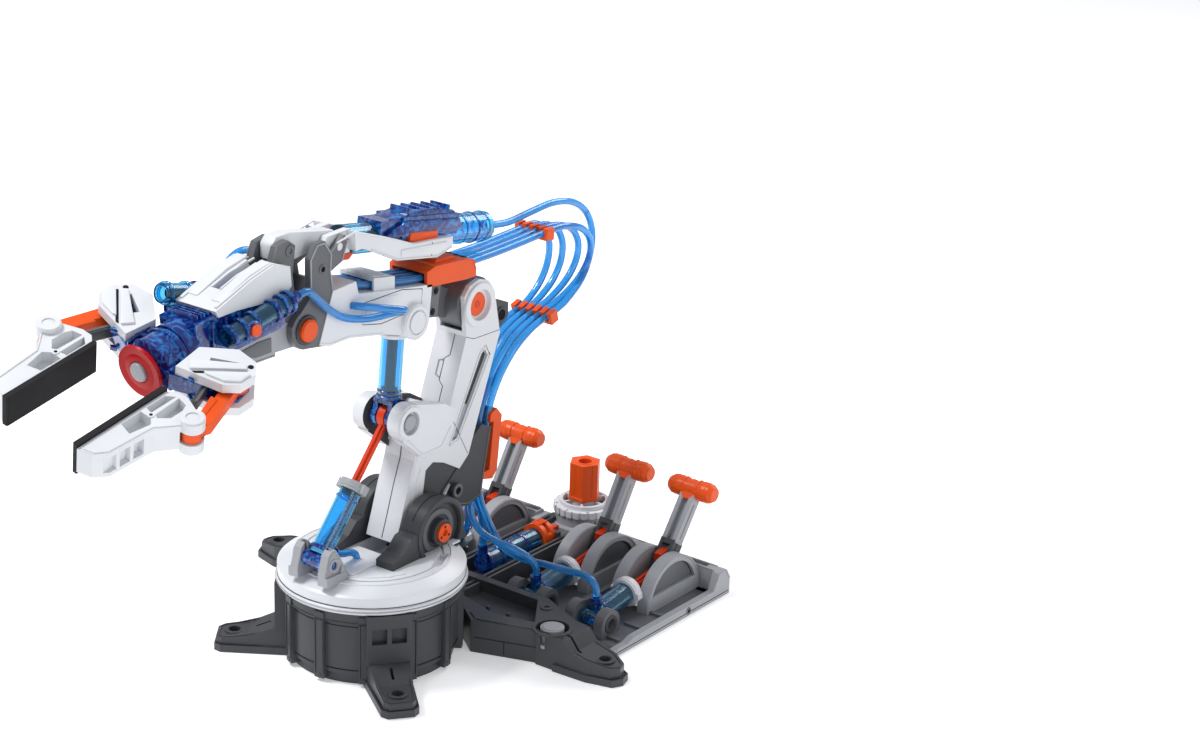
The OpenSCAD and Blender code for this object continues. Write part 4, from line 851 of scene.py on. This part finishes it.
# forearm: side panels, pin caps, clip and end block
for side, s in SIDES:
    line(f"side_panel_{side}", flat(s * FOREARM_SIDE, [(8, 204), (24, 200.6), (23.4, 190), (12, 190.4),
          (-8, 189.6), (-22, 192.6), (-22, 204)]), "hole", "forearm", 0.2, closed=True)
    prism(f"side_plate_{side}", [(6, 202), (6, 194), (-8, 191.8), (-20, 194.6), (-20, 202.6), (-8, 204)],
          *span(s, 12.8, 13.4), "white", "forearm")
    ring(f"cap_ring_{side}", CAP_PIN, s * 15.6, 6.6, 9, 0.6, "white", "forearm")
    disc(f"cap_disc_{side}", mm(s * 15.5, *CAP_PIN), (s, 0, 0), 6, 1.1, "white", "forearm")
    line(f"forearm_lower_{side}", flat(s * 12.8, [(-6, 184), (-32, 189), (-46, 188.8), (-53, 190.6)]), "white",
         "forearm", 0.5)
    line(f"cheek_rim_{side}", flat(s * CHEEK_SIDE, [(-59.4, 216), (-59.4, 235.6), (-54.6, 242), (-49.4, 242),
          (-44.8, 235.4), (-45.6, 226.6), (-43.6, 215.6), (-45.6, 190)]), "pale", "forearm", 0.55)
    line(f"cheek_front_{side}", flat(s * CHEEK_SIDE, [(-35.4, 242), (-33, 239.6), (-36.8, 230.6)]), "pale",
         "forearm", 0.45)
    hollow(f"cheek_hole_{side}", mm(s * CHEEK_SIDE, -51, 229), (s, 0, 0), 1.5, 2.6, 0.5, "mid", "forearm")
    disc(f"cheek_dark_{side}", mm(s * CHEEK_SIDE, -51, 229), (s, 0, 0), 1.5, 0.1, "hole", "forearm", 18, 0.05)
    ring(f"wrist_ring_{side}", WRIST, s * CHEEK_SIDE, 5.9, 7.6, 1.2, "dark", "forearm")
    disc(f"wrist_button_{side}", mm(s * 15, *WRIST), (s, 0, 0), 5.2, 0.5, "orange", "forearm")
    for k, spot in enumerate(((37, 196), (34.4, 185))):
        hollow(f"bracket_hole_{side}_{k}", mm(11 if s > 0 else -7.2, *spot), (s, 0, 0), 2.1, 3, 0.4, "mid",
               "forearm")
    line(f"clip_edge_{side}",
         flat(s * FOREARM_SIDE, [(30, 209), (34, 210.2), (60, 208.2), (65.6, 206.4), (67.6, 201)]), "orange",
         "forearm", 0.4)
    line(f"end_block_edge_{side}", flat(s * 9, [(-46.4, 220), (-50, 221), (-56, 204)]), "mid", "forearm", 0.4)
prism("bridge_cap", [(-10, 213.9), (2, 211.6), (2, 212.6), (-10, 215)], -9.4, 9.4, "white", "forearm")
prism("clip_ramp", [(38, 209.8), (56, 208.4), (54, 210.6), (40, 211.6)], -9, 9, "orange", "forearm")
for k in range(4):
    prism(f"clip_notch_{k}", [(61, 208.3), (65.6, 206.8), (65.6, 207.3), (61, 208.8)], 5 * (k - 1.5) - 0.7,
          5 * (k - 1.5) + 0.7, "hole", "forearm", round_mm=0)

# cylinder cradle over the forearm with its dark faceted cover


def on_cradle(t, up, x=0.0):
    """A point t millimetres from the tail and up from the barrel's axis."""
    d = heading(CYL_TAIL, CRADLE_PIN)
    return mm(x, CYL_TAIL[0], CYL_TAIL[1]) + (d * t + Vector((0, -d.z, d.y)) * -up) * MM


def cradle_prism(name, outline, lo, hi, look, round_mm=0.5):
    """A plate on the wrist cylinder's own axes, lo to hi across."""
    points = [on_cradle(t, up) for t, up in outline]
    return prism(name, [(p.y / MM, p.z / MM) for p in points], lo, hi, look, "cradle", round_mm=round_mm)


cradle_prism("cover_crown",
             [(30, 9), (36, 12.4), (52, 14.4), (66, 13.6), (80, 10.6), (94, 7), (94, 4), (30, 4)], -7.6, 7.6,
             "navy", 1.2)
for k, t in enumerate((38, 46, 54, 62, 70)):
    cradle_prism(f"cover_rib_{k}", [(t, 8), (t, 15), (t + 1.4, 15), (t + 1.4, 8)], -6.4, 6.4, "navy", 0.3)
for side, s in SIDES:
    cradle_prism(f"cover_wing_{side}", [(30, 2), (34, 8.6), (76, 9.4), (90, 3), (90, 1)], *span(s, 7.4, 10.8),
                 "navy", 0.9)
    cradle_prism(f"cover_insert_{side}", [(52, -1.6), (52, 3.2), (74, 3.2), (74, -1.6)], *span(s, 8, 11.6),
                 "orange", 0.4)
    line(f"cradle_top_{side}",
         flat(s * CRADLE_SIDE, [(46.6, 223.6), (16, 226.6), (0, 233), (-29, 243.4), (-42, 240.8)]), "white",
         "cradle", 0.55)
    line(f"cradle_seam_{side}", flat(s * CRADLE_SIDE, [(30, 216.6), (30.6, 224.6)]), "hole", "cradle", 0.18)
    line(f"cradle_low_{side}", flat(s * CRADLE_SIDE, [(46, 218.4), (34.5, 216), (3.4, 221.6), (-16.6, 231.4)]),
         "white", "cradle", 0.45)
    prism(f"cradle_pad_{side}", [(42, 222.4), (42, 219), (34, 217.6), (6, 222.4), (6, 226)],
          *span(s, 13.8, 14.5), "white", "cradle")
for k, t in enumerate((3, 12, 22)):
    barrel_ring(f"pitch_ring_{k}", CYL_TAIL, CRADLE_PIN, t, 7.8, 8.5, 1.4, "blue" if k != 1 else "navy",
                "cradle")
prism("rod_shell", [(-77.8, 238), (-77.8, 245.6), (-74.6, 249.2), (-65, 249.4), (-46, 245.8), (-33.4, 243.6),
       (-31.4, 240), (-33.4, 236.6), (-48, 236), (-62, 234.8), (-74, 234.6)], -4.2, 4.2, "white", "pitch_rod",
      round_mm=1.1)
prism("cradle_tongue", [(-19, 229.6), (-36, 231), (-34, 227.4), (-24, 226)], -5.6, 5.6, "rod", "cradle",
      round_mm=0.6)

# wrist: two-lobed cover, ribbed dark frame, side cylinder collars
for side, s in SIDES:
    line(f"cover_top_{side}", flat(s * 11.4, [(-76, 235.6), (-86, 239.6), (-100, 236), (-124, 227)]), "white",
         "wrist", 0.9)
    line(f"cover_slot_{side}", [mm(s * 2.9, -83, 238.9), mm(s * 2.9, -100, 235.8), mm(s * 2.9, -112, 231.4)],
         "white", "wrist", 0.7)
    prism(f"cover_lobe_{side}",
          [(-84, 239.4), (-100, 235.8), (-120, 227.8), (-120, 229), (-100, 237.4), (-86, 240.6)],
          *span(s, 4.6, 11), "white", "wrist", round_mm=0.6)
    line(f"cradle_rail_{side}", flat(s * 13.5, [(-87, 193.6), (-100, 193.6), (-115.4, 197.4), (-115.4, 202.6)]),
         "pale", "wrist", 0.55)
    prism(f"rail_panel_{side}",
          [(-89, 196), (-100, 196), (-112, 199), (-112, 201.6), (-98, 203.6), (-89, 203.6)], *span(s, 13.3, 14),
          "mid", "wrist")
    line(f"frame_horn_{side}",
         flat(s * 8.5, [(-83, 230), (-83, 236), (-79, 245.4), (-71.4, 246.9), (-66.6, 243.6)]), "mid", "wrist",
         0.5)
    hollow(f"horn_ring_{side}", mm(s * 8.5, *PUSH_PIN), (s, 0, 0), 1.4, 3, 0.5, "mid", "wrist")
prism("cover_insert", [(-84, 232), (-96, 231.4), (-96, 233.6), (-84, 236)], -2.5, 2.5, "pale", "wrist")
prism("cover_well", [(-97, 229), (-112, 224.6), (-112, 227), (-97, 231.6)], -2.5, 2.5, "navy", "wrist",
      round_mm=0.2)
for k in range(6):
    y = -84 - 8.4 * k
    top = 222 if k < 4 else 221.4
    for side, s in SIDES:
        prism(f"frame_rib_{side}_{k}", [(y, 207), (y - 1.8, 207), (y - 1.8, top), (y, top)],
              *span(s, 11.4, 13.4), "navy", "wrist", round_mm=0.4)
    prism(f"frame_web_{k}", [(-122 - 2.4 * k, 222.4), (-122.8 - 2.4 * k, 222.4), (-122.8 - 2.4 * k, 225.4),
           (-122 - 2.4 * k, 225.4)], -10, 10, "navy", "wrist", round_mm=0.2)
for k, t in enumerate((1, 6, 12, 26, 34, 42)):
    barrel_ring(f"right_collar_{k}", RIGHT_CYL_TAIL, RIGHT_CYL_END, t, 4.9, 6.2, 2, "navy", "wrist",
                RIGHT_CYL_X)
turned("right_core", [(0, 15), (3.3, 15), (3.3, 25), (0, 25)], mm(RIGHT_CYL_X, *RIGHT_CYL_TAIL),
       heading(RIGHT_CYL_TAIL, RIGHT_CYL_END), "hole", "wrist")
prism("right_saddle", [(-86, 216), (-120, 210), (-120, 206.6), (-86, 210)], 11.6, 20.4, "navy", "wrist",
      round_mm=0.8)
hollow("button_ring", mm(22.4, -110, 215), (1, 0, 0), 3.1, 4.6, 1.2, "navy", "wrist")
for k, t in enumerate((1, 8, 21)):
    barrel_ring(f"left_collar_{k}", LEFT_CYL_TAIL, LEFT_CYL_END, t, 4.9, 5.9, 1.8, "blue" if k else "navy",
                "wrist", LEFT_CYL_X)
turned("left_core", [(0, 10), (3.3, 10), (3.3, 19), (0, 19)], mm(LEFT_CYL_X, *LEFT_CYL_TAIL),
       heading(LEFT_CYL_TAIL, LEFT_CYL_END), "hole", "wrist")
prism("left_saddle", [(-104, 219), (-128, 223), (-128, 219), (-104, 214)], -19.6, -11.8, "navy", "wrist",
      round_mm=0.8)


# hand, covers and jaws, on the hand's own axes


def hand_prism(name, outline, lo, hi, look, body, round_mm=0.4):
    """A plate on the hand's own axes, lo to hi upwards."""
    return prism(name, outline, lo, hi, look, body, place=hand, round_mm=round_mm)


HAND_UP = HAND_TURN @ Vector((0, 0, 1))
HAND_OUT = HAND_TURN @ Vector((0, -1, 0))


def sided(outline, s):
    """An outline on the hand's right or left side."""
    return [(x * s, y) for x, y in outline]


turned("hub_flange", [(5, 0), (12.4, 0), (13.6, 1.2), (13.6, 3), (11, 4.4), (5, 4.4), (5, 0)], hand(0, 9, 0),
       HAND_OUT, "navy", "hand", 12)
turned("hub_ring", [(10, 0), (13.9, 0), (13.9, 1.4), (10, 1.4), (10, 0)], hand(0, 17.6, 0), HAND_OUT, "navy",
       "hand", 24)
turned("cup_dish",
       [(5.2, 0.4), (5.6, 1.1), (8, 0.9), (12, 0.1), (13.3, -0.7), (12.8, -1.2), (5.2, -0.2), (5.2, 0.4)],
       hand(0, -0.1, 0), HAND_OUT, "red", "hand", 64)
turned("cup_button", [(0, 1.2), (4.2, 1.2), (4.9, 1.7), (4.6, 2.3), (0, 2.5)], hand(0, 0, 0), HAND_OUT, "pale",
       "hand", 40)
for side, s in SIDES:
    link, jaw = f"link_{side}", f"jaw_{side}"
    for face, z in (("top", 1), ("under", -1)):
        a, b = span(z, 4.4, 6.6)
        for k in range(4):
            x = 13 + 5.2 * k
            hand_prism(f"arm_rib_{side}_{face}_{k}",
                       sided([(x, 5 + 2 * k), (x + 1.4, 5.4 + 2 * k), (x + 2.6, 21 + k), (x + 1.2, 21 + k)], s),
                       a, b, "navy", "hand", 0.3)
        hand_prism(f"arm_rail_{side}_{face}", sided([(8, 15.4), (9.4, 17.2), (27, 7.4), (25.8, 6)], s), a, b,
                   "navy", "hand", 0.3)
        a, b = span(z, 9.3, 10.7)
        hand_prism(f"cover_bar_{side}_{face}", sided([(18, 14), (38, 30), (41, 27.4), (22, 8.8)], s), a, b,
                   "white", "hand", 0.5)
        hand_prism(f"cover_block_{side}_{face}",
                   sided([(30, 11.4), (39, 13.6), (44.6, 18.8), (44.6, 26), (42.6, 26.4), (28, 12)], s), a, b,
                   "white", "hand", 0.5)
        a, b = span(z, 9.4, 9.7)
        hand_prism(f"cover_gap_{side}_{face}", sided([(23.4, 8.8), (41.6, 27), (42.6, 26), (25.4, 8.8)], s), a,
                   b, "hole", "hand", 0)
        disc(f"cover_pin_{side}_{face}", hand(s * 40.4, 30.6, z * 9.5), HAND_UP * z, 1.4, 0.3, "hole", "hand",
             18, 0.1)
        # jaw: pivot rims, web ribs and the small screw hole
        hollow(f"jaw_pivot_{side}_{face}", hand(s * JAW_PIVOT_X, -14, z * 9), HAND_UP * z, 3.2, 5.6, 0.5,
               "white", jaw)
        hollow(f"jaw_screw_{side}_{face}", hand(s * 30.4, -24.6, z * 7), HAND_UP * z, 0.9, 1.9, 0.5, "white",
               jaw)
        disc(f"jaw_screw_hole_{side}_{face}", hand(s * 30.4, -24.6, z * 7.1), HAND_UP * z, 0.9, 0.1, "hole",
             jaw, 16, 0.04)
        line(f"jaw_edge_{side}_{face}", [hand(s * x, y, z * 7) for x, y in ((24.6, -62.4), (31, -60.8),
              (34.8, -55.6), (36.8, -30), (44, -20.4), (48.4, -14.4))], "white", jaw, 0.45)
        hollow(f"link_pivot_{side}_{face}", hand(s * JAW_PIVOT_X, -8.6, z * 2.9), HAND_UP * z, 1.2, 2.2, 0.15,
               "orange", link)
    line(f"jaw_mid_seam_{side}", [hand(s * 52.05, -14, 0), hand(s * 51.2, -11, 0)], "hole", jaw, 0.2)
    hand_prism(f"link_bar_{side}", sided([(25.6, 19), (28.2, 19.6), (37.6, -6), (35, -7)], s), -2.8, 2.8,
               "dark", link, 0.4)
    hand_prism(f"link_bar_rib_{side}", sided([(29.6, 12), (31, 12.4), (35.4, 0.6), (34, 0)], s), 2.7, 3.1,
               "mid", link, 0.2)
    hand_prism(f"link_web_{side}", sided([(37, 8), (41, 8), (45, -6), (42, -6)], s), 2.7, 3.4, "orange", link,
               0.3)
    line(f"pad_edge_{side}",
         [hand(s * 20.7, -8.4, z) for z in (-8.2, 8.2)] + [hand(s * 20.7, -63.2, z) for z in (8.2, -8.2)],
         "rubber", f"jaw_{side}", 0.3, closed=True)


# ---------------------------------------------------------------- studio

floor_bm = bmesh.new()
bmesh.ops.create_grid(floor_bm, x_segments=1, y_segments=1, size=25)
floor_mesh = bpy.data.meshes.new("floor")
floor_bm.to_mesh(floor_mesh)
floor_bm.free()
floor = bpy.data.objects.new("floor", floor_mesh)
floor.location = (0, 0, CAD_BOX[0].z - 0.0002)
bpy.context.collection.objects.link(floor)
floor_look = bpy.data.materials.new("floor_paint")
floor_look.use_nodes = True
floor_bsdf = floor_look.node_tree.nodes["Principled BSDF"]
floor_bsdf.inputs["Base Color"].default_value = (0.96, 0.96, 0.965, 1)
floor_bsdf.inputs["Roughness"].default_value = 0.85
floor_bsdf.inputs["Emission Color"].default_value = (1, 1, 1, 1)
floor_bsdf.inputs["Emission Strength"].default_value = 0.3
floor.data.materials.append(floor_look)

world = bpy.data.worlds.new("studio")
bpy.context.scene.world = world
world.use_nodes = True
world.node_tree.nodes["Background"].inputs["Color"].default_value = (0.93, 0.95, 1.0, 1)
world.node_tree.nodes["Background"].inputs["Strength"].default_value = 0.5
bpy.context.scene.view_settings.view_transform = "Standard"


def softbox(name, at, towards, size, watts):
    """A square area light aimed at a point."""
    data = bpy.data.lights.new(name, "AREA")
    data.shape = "SQUARE"
    data.size = size
    data.energy = watts
    obj = bpy.data.objects.new(name, data)
    obj.location = at
    obj.rotation_euler = (Vector(towards) - Vector(at)).to_track_quat("-Z", "Y").to_euler()
    bpy.context.collection.objects.link(obj)


softbox("key", (-0.6, -0.5, 1.5), (0, 0, 0.1), 0.5, 20)
softbox("fill", (1.6, -0.2, 0.7), (0, 0, 0.1), 0.8, 4)
softbox("back", (0.1, 1.4, 1.2), (0, 0, 0.15), 0.8, 9)
